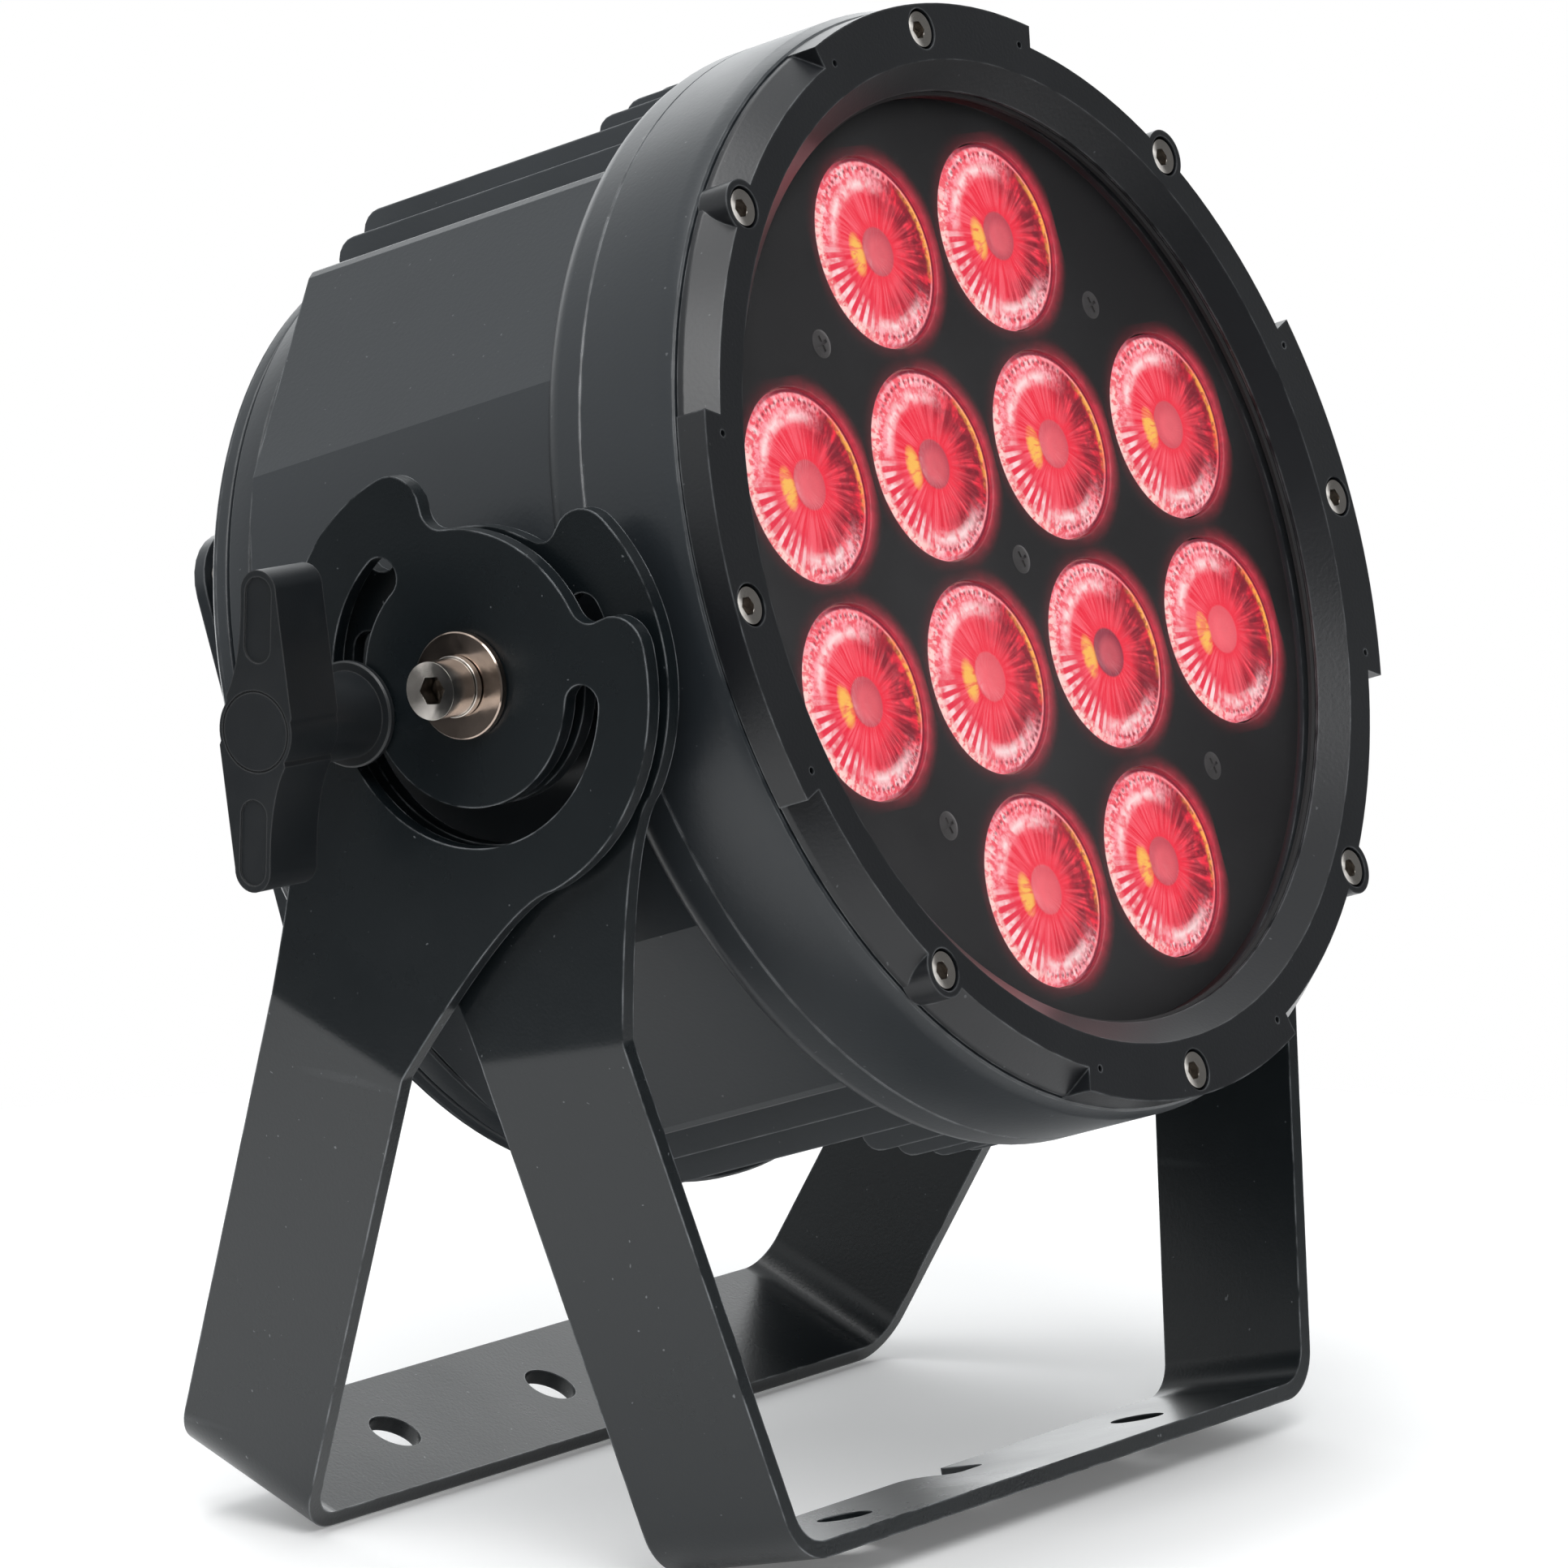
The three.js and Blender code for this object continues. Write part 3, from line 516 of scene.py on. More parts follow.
def moulded(name, base, roughness, pale=0.18):
    """Moulded plastic or rubber with spark-eroded grain."""
    look, tree, shader = new_look(name, base, roughness)
    cloud = spread(tree, noise(tree, 40, 4), 0.3, 0.7)
    tone = mixed(tree, cloud, base, tuple(c * 1.25 for c in base))
    # Convex edges painted paler: partly rubbed wear, partly painted edge highlight.
    rubbed_and_highlit_edges = maths(tree, "MULTIPLY", edge_wear_and_highlight(tree, 0.0006, 0.02, 0.2), 0.35)
    tree.links.new(mixed(tree, rubbed_and_highlit_edges, tone, (pale, pale, pale)), shader.inputs["Base Color"])
    rough = spread(tree, noise(tree, 60, 3), 0.3, 0.7, roughness - 0.06, roughness + 0.06)
    tree.links.new(rough, shader.inputs["Roughness"])
    bump(tree, shader, noise(tree, 2200, 2), 0.4, 0.00005)
    return look


def milled(name, base, roughness):
    """Milled aluminium with straight tool marks."""
    look, tree, shader = new_look(name, base, roughness, 1.0)
    marks = noise(tree, 300, 2, (1, 1, 0.05))
    tree.links.new(mixed(tree, marks, base, tuple(c * 0.8 for c in base)), shader.inputs["Base Color"])
    bump(tree, shader, marks, 0.3, 0.00005)
    return look


def solder_mask():
    look, tree, shader = new_look("solder_mask", (0.74, 0.76, 0.71), 0.55)
    weave = noise(tree, 1200, 1, (1, 1, 0.3))
    tree.links.new(mixed(tree, weave, (0.70, 0.72, 0.67), (0.80, 0.81, 0.77)), shader.inputs["Base Color"])
    bump(tree, shader, weave, 0.2, 0.00004)
    return look


def clear_pane():
    look, tree, shader = new_look("clear_glass", (0.55, 0.56, 0.58), 0.04)
    smear = spread(tree, noise(tree, 22, 5), 0.45, 0.8, 0.012, 0.03)
    tree.links.new(smear, shader.inputs["Alpha"])
    bump(tree, shader, noise(tree, 8, 1), 0.05, 0.0002)
    return look


def dark_window():
    look, tree, shader = new_look("display_window", (0.01, 0.02, 0.035), 0.08)
    coord = add(tree, "TexCoord").outputs["Object"]
    dots = add(tree, "TexChecker", {"Vector": coord, "Scale": 1600.0}).outputs["Fac"]
    factor = maths(tree, "MULTIPLY", dots, 0.3)
    colour = mixed(tree, factor, (0.01, 0.02, 0.035), (0.03, 0.06, 0.09))
    tree.links.new(colour, shader.inputs["Base Color"])
    rough = spread(tree, noise(tree, 30, 4), 0.4, 0.7, 0.06, 0.16)
    tree.links.new(rough, shader.inputs["Roughness"])
    return look


def window(tree, value, low, high, soft):
    """1 between two limits, fading over soft on each side."""
    rise = spread(tree, value, low - soft, low + soft)
    fall = spread(tree, value, high + soft, high - soft)
    return maths(tree, "MULTIPLY", rise, fall)


def facing(tree, angle, middle, half, soft=8):
    """1 where an angle lies within half degrees of the middle direction."""
    turn = maths(tree, "COSINE", maths(tree, "SUBTRACT", angle, math.radians(middle)))
    low, high = math.cos(math.radians(half + soft)), math.cos(math.radians(max(half - soft, 0)))
    return spread(tree, turn, low, high)


def product(tree, *factors):
    result = factors[0]
    for factor in factors[1:]:
        result = maths(tree, "MULTIPLY", result, factor)
    return result


def blob(tree, x, z, centre, half_x, half_z):
    """1 in the middle of an ellipse, 0 outside it."""
    dx = maths(tree, "DIVIDE", maths(tree, "SUBTRACT", x, centre[0]), half_x)
    dz = maths(tree, "DIVIDE", maths(tree, "SUBTRACT", z, centre[1]), half_z)
    away = maths(tree, "ADD", maths(tree, "MULTIPLY", dx, dx), maths(tree, "MULTIPLY", dz, dz))
    return spread(tree, away, 1.0, 0.3)


def disc_coordinates(tree, radius):
    """Position on a lens face: x, z and distance from its middle in lens radii, and the angle."""
    coord = add(tree, "TexCoord").outputs["Object"]
    split = add(tree, "SeparateXYZ", {"Vector": coord})
    x = maths(tree, "DIVIDE", split.outputs["X"], radius)
    z = maths(tree, "DIVIDE", split.outputs["Z"], radius)
    square = maths(tree, "ADD", maths(tree, "MULTIPLY", x, x), maths(tree, "MULTIPLY", z, z))
    return x, z, maths(tree, "SQRT", square), maths(tree, "ARCTAN2", z, x)


def streaks(tree, radius, angle, along, around, seed):
    """Irregular streaks that run out from the middle, different on each lens."""
    lens_share = add(tree, "ObjectInfo").outputs["Random"]
    turn_x = maths(tree, "MULTIPLY", maths(tree, "COSINE", angle), around)
    turn_z = maths(tree, "MULTIPLY", maths(tree, "SINE", angle), around)
    depth = maths(tree, "MULTIPLY", radius, along)
    depth = maths(tree, "ADD", depth, maths(tree, "MULTIPLY", lens_share, 40.0))
    depth = maths(tree, "ADD", depth, seed)
    where = add(tree, "CombineXYZ", {"X": turn_x, "Y": turn_z, "Z": depth}).outputs[0]
    values = {"Vector": where, "Scale": 1.0, "Detail": 2.0, "Roughness": 0.6}
    return add(tree, "TexNoise", values).outputs[0]


def lens_look():
    """A collimator full of red light: pale caustic crescents, spokes, a hot patch, dark flutes."""
    look, tree, shader = new_look("lit_lens", (0.05, 0.004, 0.006), 0.10)
    x, z, radius, angle = disc_coordinates(tree, LENS_RADIUS * MM)
    lens_share = add(tree, "ObjectInfo").outputs["Random"]
    rays = spread(tree, streaks(tree, radius, angle, 1.2, 13.0, 0.0), 0.40, 0.62)
    coarse = spread(tree, streaks(tree, radius, angle, 5.0, 5.0, 7.0), 0.38, 0.62)
    flecks = spread(tree, streaks(tree, radius, angle, 14.0, 15.0, 13.0), 0.42, 0.60)
    # Red ground, deeper and darker on the right, with fine flutes from the dimple outwards.
    right = facing(tree, angle, -8, 70, 30)
    depth = product(tree, right, spread(tree, radius, 0.30, 0.70), spread(tree, coarse, 0.1, 0.7))
    colour = mixed(tree, depth, (0.85, 0.022, 0.052), (0.30, 0.008, 0.022))
    flute = product(tree, rays, window(tree, radius, 0.32, 0.72, 0.06),
                    spread(tree, x, 0.5, -0.3, 0.16, 0.60))
    colour = mixed(tree, flute, colour, (1.0, 0.19, 0.24))
    dark_share = product(tree, maths(tree, "SUBTRACT", 1.0, rays), right,
                         window(tree, radius, 0.50, 0.88, 0.08))
    colour = mixed(tree, maths(tree, "MULTIPLY", dark_share, 0.7), colour, (0.12, 0.005, 0.016))
    # Pale speckled crescents at the upper left and along the bottom, each with a white streak.
    for middle, half, inner in ((118, 58, 0.64), (276, 40, 0.70)):
        pale = product(tree, facing(tree, angle, middle, half, 14),
                       spread(tree, radius, inner - 0.05, inner + 0.10),
                       spread(tree, flecks, 0.0, 1.0, 0.25, 0.95))
        colour = mixed(tree, pale, colour, (1.0, 0.34, 0.40))
        core = product(tree, facing(tree, angle, middle, half - 14, 16),
                       window(tree, radius, inner + 0.04, inner + 0.13, 0.05),
                       spread(tree, coarse, 0.05, 0.65, 0.12, 0.95))
        colour = mixed(tree, core, colour, (1.0, 0.80, 0.80))
        glint = product(tree, facing(tree, angle, middle, half, 10), flecks, rays,
                        window(tree, radius, 0.84, 0.95, 0.03))
        colour = mixed(tree, glint, colour, (1.0, 0.70, 0.72))
    # White bars between red gaps on the left.
    left = facing(tree, angle, 210, 34, 10)
    bars = maths(tree, "SINE", maths(tree, "MULTIPLY", angle, 42.0))
    red_gap = product(tree, left, window(tree, radius, 0.56, 0.93, 0.06))
    colour = mixed(tree, maths(tree, "MULTIPLY", red_gap, 0.75), colour, (0.78, 0.03, 0.07))
    bar = product(tree, left, spread(tree, bars, -0.2, 0.4), window(tree, radius, 0.66, 0.93, 0.08),
                  spread(tree, coarse, 0.0, 0.6, 0.25, 1.0))
    colour = mixed(tree, bar, colour, (1.0, 0.72, 0.74))
    rim = product(tree, facing(tree, angle, 196, 50, 12), spread(tree, radius, 0.86, 0.93),
                  spread(tree, flecks, 0.0, 0.8, 0.2, 1.0))
    colour = mixed(tree, rim, colour, (1.0, 0.66, 0.62))
    # Round dimple; in some lenses it is dark and in some it shows the bright emitter beside it.
    dimple_tone = mixed(tree, lens_share, (0.24, 0.03, 0.055), (0.80, 0.10, 0.13))
    colour = mixed(tree, spread(tree, radius, 0.272, 0.25), colour, dimple_tone)
    shine = blob(tree, x, z, (0.05, -0.02), 0.20, 0.22)
    colour = mixed(tree, maths(tree, "MULTIPLY", shine, 0.4), colour, (0.93, 0.16, 0.19))
    emitter = blob(tree, x, z, (-0.36, 0.0), 0.13, 0.25)
    emitter = maths(tree, "MULTIPLY", emitter, spread(tree, coarse, 0.0, 0.5, 0.35, 1.0))
    colour = mixed(tree, emitter, colour, (0.95, 0.50, 0.10))
    # Dark dots near the rim, a thin hot line on the right and a darker outer edge.
    dots = maths(tree, "SINE", maths(tree, "MULTIPLY", angle, 64.0))
    dotted = product(tree, spread(tree, dots, 0.1, 0.5), window(tree, radius, 0.875, 0.91, 0.015),
                     facing(tree, angle, 15, 125, 15))
    colour = mixed(tree, maths(tree, "MULTIPLY", dotted, 0.7), colour, (0.10, 0.008, 0.02))
    line = product(tree, window(tree, radius, 0.925, 0.95, 0.012), facing(tree, angle, 15, 80, 15))
    colour = mixed(tree, maths(tree, "MULTIPLY", line, spread(tree, coarse, 0, 0.7, 0.3, 1.0)), colour,
                   (1.0, 0.30, 0.34))
    ember = product(tree, window(tree, radius, 0.88, 0.965, 0.025), facing(tree, angle, 10, 22, 14),
                    spread(tree, flecks, 0.0, 0.6, 0.35, 1.0))
    colour = mixed(tree, ember, colour, (1.0, 0.42, 0.07))
    edge = product(tree, spread(tree, radius, 0.955, 0.975), facing(tree, angle, 15, 100, 20))
    colour = mixed(tree, edge, colour, (0.16, 0.012, 0.028))
    tree.links.new(colour, shader.inputs["Emission Color"])
    shader.inputs["Emission Strength"].default_value = 1.0
    bump(tree, shader, rays, 0.3, 0.0002)
    return look


def plate_look():
    """Matt black plate with a soft red glow painted round each lens as emission."""
    look = powder_coat("plate_paint_with_painted_glow", (0.006, 0.005, 0.006), (0.08, 0.07, 0.07), 0.5, 1500.0, 0.00003)
    tree = look.node_tree
    shader = tree.nodes["Principled BSDF"]
    split = add(tree, "SeparateXYZ", {"Vector": add(tree, "TexCoord").outputs["Object"]})
    offsets = []
    for axis in ("X", "Z"):
        cell = maths(tree, "DIVIDE", split.outputs[axis], LENS_PITCH * MM)
        offsets.append(maths(tree, "SUBTRACT", maths(tree, "FRACT", maths(tree, "ADD", cell, 8.0)), 0.5))
    squares = [maths(tree, "MULTIPLY", offset, offset) for offset in offsets]
    from_lens = maths(tree, "SQRT", maths(tree, "ADD", *squares))
    # Painted light: a ring of red emission round each lens, brighter towards its right side.
    right = spread(tree, offsets[0], 0.0, 0.48, 0.14, 1.0)
    edge = LENS_RADIUS / LENS_PITCH
    painted_halo = spread(tree, from_lens, edge + 0.10, edge)
    painted_halo = maths(tree, "POWER", painted_halo, 2.2)
    across, up = (maths(tree, "ABSOLUTE", split.outputs[axis]) for axis in ("X", "Z"))
    pitch = LENS_PITCH * MM
    off_corner = spread(tree, maths(tree, "MINIMUM", across, up), pitch * 0.998, pitch, 1, 0)
    on_grid = spread(tree, maths(tree, "MAXIMUM", across, up), pitch * 1.998, pitch * 2, 1, 0)
    shader.inputs["Emission Color"].default_value = (1.0, 0.05, 0.10, 1)
    streaky = spread(tree, noise(tree, 500, 2), 0.3, 0.7, 0.6, 1.0)
    painted_red_glow = product(tree, painted_halo, right, streaky, off_corner, on_grid, 0.8)
    tree.links.new(painted_red_glow, shader.inputs["Emission Strength"])
    return look


LOOKS = {
    "cast": powder_coat("cast_powder_coat", (0.017, 0.021, 0.025), (0.26, 0.27, 0.28), 0.34),
    # The fins get a paler copy of the housing's coat: painted light on the fin sides, which stand in shade
    # between the fins.
    "fins": powder_coat("fin_powder_coat_painted_lighter", (0.065, 0.072, 0.079), (0.34, 0.35, 0.36), 0.42),
    "bezel": powder_coat("bezel_powder_coat", (0.008, 0.009, 0.011), (0.22, 0.23, 0.24), 0.34, 1100.0),
    "yoke": powder_coat("yoke_powder_coat", (0.007, 0.010, 0.012), (0.42, 0.44, 0.46), 0.28, 1200.0),
    "plate": plate_look(),
    "screw": turned_steel("stainless", (0.74, 0.69, 0.64), 0.18),
    "washer": turned_steel("washer_steel", (0.50, 0.40, 0.34), 0.16),
    "plate_screw": turned_steel("zinc_steel", (0.30, 0.28, 0.28), 0.34),
    "nylon": moulded("black_nylon", (0.010, 0.012, 0.014), 0.42),
    "rubber": moulded("black_rubber", (0.012, 0.012, 0.013), 0.75, 0.05),
    "aluminium": milled("milled_aluminium", (0.66, 0.67, 0.68), 0.35),
    "board": solder_mask(),
    "glass": clear_pane(),
    "window": dark_window(),
    "lens": lens_look(),
}


# ---- lamp head ----------------------------------------------------------------------------------

def screw_centres():
    return [
        (SCREW_CIRCLE * math.sin(k * math.pi / 4), SCREW_CIRCLE * math.cos(k * math.pi / 4))
        for k in range(8)
    ]


def lens_centres():
    """Four by four grid without its corners, row by row from the top."""
    centres = []
    for row in range(4):
        for column in range(4):
            if row in (0, 3) and column in (0, 3):
                continue
            centres.append(((column - 1.5) * LENS_PITCH, (1.5 - row) * LENS_PITCH))
    return centres


def plate_screw_centres():
    q = PLATE_SCREW_OFFSET
    return [(0, 0), (q, q), (q, -q), (-q, -q), (-q, q)]


def head_at(x, z, depth=0.0):
    """The head's axes moved to a point of the face."""
    return HEAD @ Matrix.Translation(Vector((x, depth, z)) * MM)


def body_outline():
    """Round sides, flat facets and the outermost fins, as seen along the lamp's axis."""
    half_turn = math.atan2(CREASE[1], CREASE[0])
    edge = FINS_EACH_SIDE * FIN_PITCH
    tip = math.sqrt(BODY_RADIUS ** 2 - (edge - FIN_THICKNESS / 2) ** 2)
    corners = [CREASE, FACET_TOP, (edge - FIN_THICKNESS / 2, tip), (edge - FIN_THICKNESS / 2, FIN_ROOT)]
    quarter = rounded(corners, [0, 1.4, 1.4, 1.5], 4)
    side = arc((0, 0), BODY_RADIUS, -half_turn, half_turn, 48)[1:]
    top = quarter[1:]
    mirrored = [(-x, z) for x, z in reversed(top)]
    upper = side + top + mirrored
    return upper + [(-x, -z) for x, z in side + top + mirrored]


def shroud_profile():
    """Closed section of the round front part, with its fine parting groove."""
    inner, mouth = 117.2, BEZEL_DEPTH + 0.35
    groove = [(SHROUD_RADIUS, SEAM_DEPTH - 0.35), (SHROUD_RADIUS - 0.3, SEAM_DEPTH),
              (SHROUD_RADIUS, SEAM_DEPTH + 0.35)]
    back = [(SHROUD_RADIUS, 40.2), *arc((SHROUD_RADIUS - 6, 40.2), 6, 0, math.pi / 2, 9)[1:]]
    return [
        (inner, mouth), (130.0, mouth), (130.5, mouth + 0.4), (SHROUD_RADIUS, 12.5), *groove, *back,
        (112, SHROUD_END), (112, 10.6), (inner, 10.6),
    ]


def housing():
    bm = bmesh.new()
    revolve(bm, shroud_profile(), closed=True)
    shroud = shade_round(object_from("housing_shroud", bm, HEAD), 28)
    finish_piece(shroud, "cast", "head", "housing")
    bm = bmesh.new()
    slab(bm, body_outline(), [], 40, BODY_END, along_y)
    body = soften(object_from("housing_body", bm, HEAD), 1.0, 3, 9)
    finish_piece(body, "cast", "head")
    fins()
    pivot_bosses()


def fin_outline(offset, short):
    """Side view of one fin (depth, height), with rounded rear corners."""
    tip = math.sqrt(BODY_RADIUS ** 2 - offset ** 2)
    base = FIN_ROOT - 3
    if short:
        corners = [(42, base), (BODY_END - GAP, base), (BODY_END - GAP, SHORT_FIN_STEP),
                   (SHORT_FIN_END, SHORT_FIN_STEP), (SHORT_FIN_END, tip), (42, tip)]
        return rounded(corners, [0, 0, 5, 3, 5, 0])
    corners = [(42, base), (BODY_END - GAP, base), (BODY_END - GAP, tip), (42, tip)]
    return rounded(corners, [0, 0, 6, 0])


def fins():
    """Upright cooling fins above and below, all in one piece with the housing."""
    bm = bmesh.new()
    for k in range(1 - FINS_EACH_SIDE, FINS_EACH_SIDE):
        offset = k * FIN_PITCH
        outline = fin_outline(abs(offset) + FIN_THICKNESS / 2, abs(k) <= SHORT_FINS_EACH_SIDE)
        low, high = offset - FIN_THICKNESS / 2, offset + FIN_THICKNESS / 2
        slab(bm, outline, [], low, high, along_x)
        slab(bm, [(depth, -height) for depth, height in outline], [], low, high, along_x)
    piece = soften(object_from("housing_fins", bm, HEAD), 1.5, 4, 50)
    finish_piece(piece, "fins", "head")


def side_frame(origin, side):
    """Axes for hardware on one end of the pivot: Y points outwards along the pivot axis."""
    outwards = ACROSS * SIDES[side]
    return axes(outwards.cross(UPWARD), outwards, UPWARD, Vector((0, origin.y, origin.z)))


def pivot_bosses():
    reach_out = YOKE_FACE["inner_yoke"] - STRAP - GAP
    for side in SIDES:
        bm = bmesh.new()
        rim = BOSS_RADIUS
        revolve(bm, [(0, 120), (rim + 3.5, 120), (rim + 3.5, 127), (rim + 2, 130), (rim + 0.3, 133),
                     (rim, 136), (rim - 0.6, reach_out), (0, reach_out)], 64)
        boss = shade_round(object_from(f"housing_boss_{side}", bm, side_frame(PIVOT, side)), 35)
        finish_piece(boss, "cast", "head")


def sector(bm, inner, outer, low, high, middle, half, steps=20):
    """A ring sector, from one radius to the other."""
    start, end = middle - half, middle + half
    outline = arc((0, 0), outer, start, end, steps) + arc((0, 0), inner, end, start, steps)
    slab(bm, outline, [], low, high, along_y)


def blind_hole(bm, radius, end, centre, sides):
    """Cutting tool for a hole from in front of the face down to a depth."""
    revolve(bm, [(0, -1), (radius, -1), (radius, end), (0, end)], sides, offset=centre)


def bezel():
    """Front ring: chamfered rim, four flush pads, lugs at the diagonal screws, counterbores."""
    rim = [
        (OPENING_RADIUS, 5.3), (FACE_INNER, 0.0), (CHAMFER_RADIUS, 0.0), (129.3, 6.2), (129.6, 6.9),
        (129.6, BEZEL_DEPTH), (117.3, BEZEL_DEPTH), (117.3, 6.0), (OPENING_RADIUS, 6.0),
    ]
    bm = bmesh.new()
    revolve(bm, rim, closed=True)
    piece = object_from("bezel_fine", bm, HEAD)
    for k in range(4):
        bm = bmesh.new()
        sector(bm, 119, BEZEL_RADIUS, 0.0, BEZEL_DEPTH, k * math.pi / 2, PAD_HALF_ANGLE)
        cut(piece, bm, union=True)
    for x, z in screw_centres()[1::2]:
        bm = bmesh.new()
        lug = [(0, 0.0), (LUG_RADIUS, 0.0), (LUG_RADIUS, BEZEL_DEPTH), (0, BEZEL_DEPTH)]
        revolve(bm, lug, 40, offset=(x, z))
        cut(piece, bm, union=True)
    holes = bmesh.new()
    for x, z in screw_centres():
        blind_hole(holes, COUNTERBORE["radius"], COUNTERBORE["end"], (x, z), 36)
    for k in range(4):
        for sign in (-1, 1):
            angle = k * math.pi / 2 + sign * PIN_ANGLE
            x, z = SCREW_CIRCLE * math.sin(angle), SCREW_CIRCLE * math.cos(angle)
            blind_hole(holes, PIN_RADIUS, 3, (x, z), 16)
    cut(piece, holes)
    soften(piece, 0.35, 2, 25)
    finish_piece(piece, "bezel", "head", "bezel")


def turned_piece(name, place, profile, look, replaced, sides=ROUND, sharp=30):
    """A turned piece of the head: a ring, or a disc if its profile starts on the axis."""
    bm = bmesh.new()
    revolve(bm, profile, sides, closed=profile[0][0] > 0)
    finish_piece(shade_round(object_from(name, bm, place), sharp), look, "head", replaced)


def glass_and_gasket():
    gasket = [(109.8, 6.6), (110.4, 6.2), (116.9, 6.2), (116.9, 7.6), (109.8, 7.6)]
    turned_piece("glass_gasket_fine", HEAD, gasket, "rubber", "glass_gasket")
    pane = [(0, 7.9), (116.5, 7.9), (116.9, 8.3), (116.9, 9.8), (116.5, 10.2), (0, 10.2)]
    turned_piece("front_glass_fine", HEAD, pane, "glass", "front_glass")


def lens_plate():
    bm = bmesh.new()
    holes = [circle(LENS_RADIUS + 0.45, centre, 64) for centre in lens_centres()]
    holes += [circle(2.0, centre, 20) for centre in plate_screw_centres()]
    slab(bm, circle(110.3, sides=ROUND), holes, PLATE_FRONT, PLATE_BACK, along_y)
    piece = soften(object_from("lens_plate_fine", bm, HEAD), 0.3, 2, 35)
    finish_piece(piece, "plate", "head", "lens_plate")


def lens_mesh():
    """Collimator: fluted front with a round dimple in the middle, cone behind."""
    bm = bmesh.new()
    front = [(0, 11.6), (1.8, 11.5), (3.6, 11.2), (5.0, 10.75), (5.8, 10.65), (8, 10.68), (12, 10.8),
             (16, 11.0), (19.5, 11.2), (21.2, 11.35), (21.6, 11.6), (LENS_RADIUS, 11.65)]
    back = [(LENS_RADIUS, 13.6), (20.5, 15.5), (14, 23), (8, 30.3), (0, 30.3)]
    revolve(bm, front + back, 112)
    for vertex in bm.verts:
        radius = math.hypot(vertex.co.x, vertex.co.z)
        if 6.5 < radius < 20.5 and vertex.co.y < 11.6:
            wave = math.cos(LENS_FLUTES * math.atan2(vertex.co.x, vertex.co.z))
            vertex.co.y += 0.08 + 0.08 * wave
    return bm


def repeated(make, name, centres, look, replaced):
    """One mesh made at the first centre and copied to the others."""
    pieces = [make(f"{name}_1", head_at(*centres[0]))]
    for k, centre in enumerate(centres[1:], 2):
        pieces.append(copy_of(pieces[0], f"{name}_{k}", head_at(*centre)))
    for k, piece in enumerate(pieces, 1):
        finish_piece(piece, look, "head", f"{replaced}_{k}")


def copy_of(master, name, matrix):
    """Another object with the same mesh and modifiers."""
    obj = master.copy()
    obj.name = name
    bpy.context.scene.collection.objects.link(obj)
    obj.matrix_world = matrix
    return obj


def one_lens(name, matrix):
    return shade_round(object_from(name, lens_mesh(), matrix), 40)


def bezel_screw(name, matrix):
    """Cap-head screw with a hexagon socket, sunk in the bezel."""
    head = SCREW_HEAD
    bm = bmesh.new()
    socketed(bm, head["radius"], head["flats"], head["top"], head["socket_end"], head["bottom"])
    return soften(object_from(name, bm, matrix), 0.4, 3, 60)


def plate_screw(name, matrix):
    """Low pan head with a cross recess."""
    bm = bmesh.new()
    rim = PLATE_SCREW_RADIUS
    revolve(bm, [(0, 10.72), (2.2, 10.74), (3.1, 10.8), (rim, 10.9), (rim, 11.3), (0, 11.3)], 40)
    piece = object_from(name, bm, matrix)
    blade = [(2.0, 0.38), (-2.0, 0.38), (-2.0, -0.38), (2.0, -0.38)]
    for angle in (0.3, 0.3 + math.pi / 2):
        tool = bmesh.new()
        slab(tool, [turned(corner, angle) for corner in blade], [], 10, 11.15, along_y)
        cut(piece, tool)
    return soften(piece, 0.06, 2, 40)


# ---- rear of the head ---------------------------------------------------------------------------

def rear_cover():
    """Round lid: wide foot, narrow neck, then two rounded bands with a groove between them."""
    foot, front, band = BODY_END + GAP, LID_BAND_FRONT, LID_RADIUS + 1.2
    outside = [
        (LID_SEAT, foot), (LID_FOOT - 0.4, foot), (LID_FOOT, foot + 0.4), (LID_FOOT, foot + 2.9),
        (LID_FOOT - 0.6, foot + 3.3),
        (LID_NECK, foot + 3.3), (LID_NECK, front), (band - 0.6, front), (band, front + 0.6),
        (band, LID_GROOVE - 0.6), (band - 0.5, LID_GROOVE), (LID_RADIUS - 1.6, LID_GROOVE + 0.4),
        (LID_RADIUS - 1.6, LID_GROOVE + 1.3), (LID_RADIUS - 0.4, LID_GROOVE + 1.7),
        (LID_RADIUS, LID_GROOVE + 2.3), (LID_RADIUS, LID_BACK - 2.0), (LID_RADIUS - 0.5, LID_BACK - 1.6),
        (LID_RADIUS - 0.4, LID_BACK - 0.9), (LID_RADIUS - 1.2, LID_BACK), (LID_SEAT, LID_BACK),
        (LID_SEAT - 0.6, LID_BACK - 0.5), (LID_SEAT - 1.4, LID_BACK - 0.5), (LID_SEAT - 2, LID_BACK),
        (0, LID_BACK),
    ]
    inside = [(0, LID_BACK - 3.2), (LID_SEAT, LID_BACK - 3.2)]
    bm = bmesh.new()
    revolve(bm, outside + inside, closed=True)
    bm.transform(millimetres(HEAD))
    piece = shade_round(object_from("rear_cover_fine", bm, Matrix()), 40)
    finish_piece(piece, "cast", "head", "rear_cover")


def rounded_rectangle(half_width, half_height, radius):
    w, h = half_width, half_height
    return rounded([(-w, -h), (w, -h), (w, h), (-w, h)], radius, 7)


